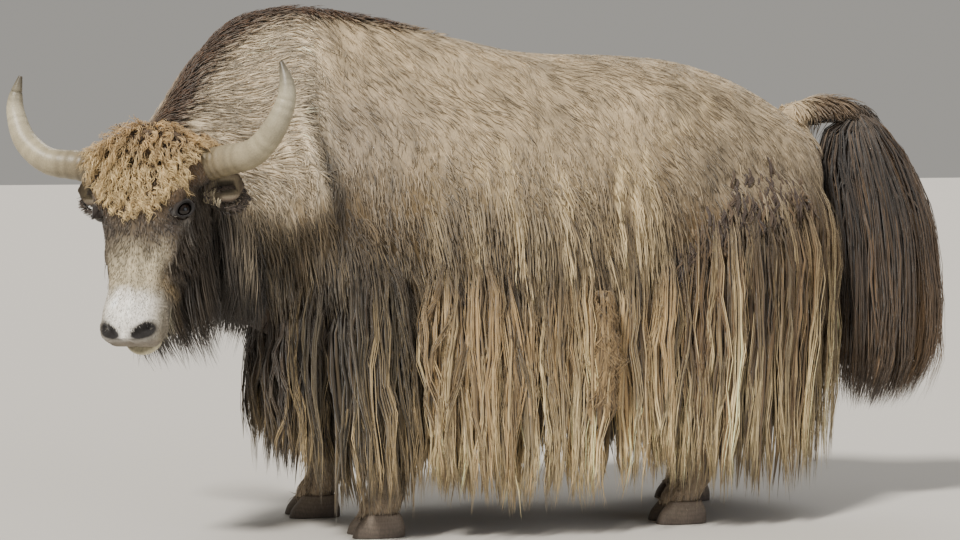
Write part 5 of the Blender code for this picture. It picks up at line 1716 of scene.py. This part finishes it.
def earHair(side, name):
    # a fringe round the rim, with pale hair in the cup
    count = earFringe["tufts"]
    obj = bpy.data.objects[f"ear_{name}"]
    points, normals = coordinates(obj.data)
    way, face = unit(ears["way"]), unit(ears["face"])
    pick = draw.integers(0, len(points), count)
    places, outs = points[pick], normals[pick]
    q = inHead(places) * (side, 1, 1) - np.array(ears["root"])
    across = q - np.outer(q @ way, way) - np.outer(q @ face, face)
    inside = ((np.linalg.norm(across, axis=1) > 0.012) & (q @ face > 0.002))[:, None, None]
    ahead = onHead((way + (0, 0.2, -0.25)) * (side, 1, 1)) - np.array(head["poll"])
    over = (0.5 * way - 25 * across) * (side, -1, 1) @ headTurn.T
    ways = np.where(inside[:, 0], over, ahead) + draw.normal(0, 0.22, (count, 3))
    ways = unit(flattened(ways, outs))
    s = np.linspace(0, 1, earFringe["stations"])[None, :, None]
    length = draw.uniform(*earFringe["length"], (count, 1, 1))
    lift = np.where(inside, 0.55, 0.35) * length * s * (1 - 0.4 * s) - 0.001
    paths = places[:, None] + ways[:, None] * s * length + outs[:, None] * lift
    half = draw.uniform(*earFringe["halfWidth"], (count, 1)) * (1 - 0.7 * s[..., 0])
    tone = draw.normal(1, earFringe["contrast"], (count, 1, 1))
    tints = np.where(inside, hue["bridge"], hue["ear"]) * tone * (0.7 + 0.5 * s)
    addCoat(f"ear_hair_{name}", paths, half, 0.3, outs, tints)


for side, name in sideNames.items():
    earHair(side, name)


# Stage, light and camera

stage = {"floor": "#c9c5be", "wall": "#b9b6b0", "target": (-0.042, -0.156, 0.67), "azimuth": 75.0,
         "distance": 6.5, "cameraHeight": 1.1, "lens": 90.4, "daylight": 0.75}
lights = {  # the way it comes from, strength, width in degrees, colour
    "key": ((3.0, -3.0, 4.8), 4.6, 9, "#fffaf2"),
    "fill": ((4.5, 3.5, 2.0), 0.6, 40, "#eef2ff"),
    "back": ((-3.5, 1.5, 3.0), 0.9, 30, "#ffffff"),
}


def makeStage():
    bpy.ops.mesh.primitive_plane_add(size=60, location=(0, 0, 0))
    floor = bpy.context.object
    floor.name = "floor"
    made = bpy.data.materials.new("floor")
    made.use_nodes = True
    shader = made.node_tree.nodes["Principled BSDF"]
    shader.inputs["Base Color"].default_value = (*linear(stage["floor"]), 1)
    shader.inputs["Roughness"].default_value = 0.9
    floor.data.materials.append(made)
    world = bpy.data.worlds.new("studio")
    world.use_nodes = True
    background = world.node_tree.nodes["Background"]
    background.inputs["Color"].default_value = (*linear(stage["wall"]), 1)
    background.inputs["Strength"].default_value = stage["daylight"]
    bpy.context.scene.world = world


def makeLight(name, way, strength, angle, colour):
    # a light from far off, wide enough for soft shadows
    light = bpy.data.lights.new(name, "SUN")
    light.energy = strength
    light.angle = math.radians(angle)
    light.color = linear(colour)
    obj = bpy.data.objects.new(name, light)
    bpy.context.scene.collection.objects.link(obj)
    obj.rotation_euler = (-Vector(way)).to_track_quat("-Z", "Y").to_euler()


def makeCamera():
    camera = bpy.data.objects.new("camera", bpy.data.cameras.new("camera"))
    bpy.context.scene.collection.objects.link(camera)
    target = Vector(np.array(stage["target"]) + rowShift)
    angle = math.radians(stage["azimuth"])
    way = Vector((math.sin(angle), -math.cos(angle), 0)) * stage["distance"]
    camera.location = Vector((target.x, target.y, stage["cameraHeight"])) + way
    camera.rotation_euler = (target - camera.location).to_track_quat("-Z", "Y").to_euler()
    camera.data.lens = stage["lens"]
    bpy.context.scene.camera = camera


makeStage()
for name, look in lights.items():
    makeLight(name, *look)
makeCamera()
print("stage: floor, lights, camera")
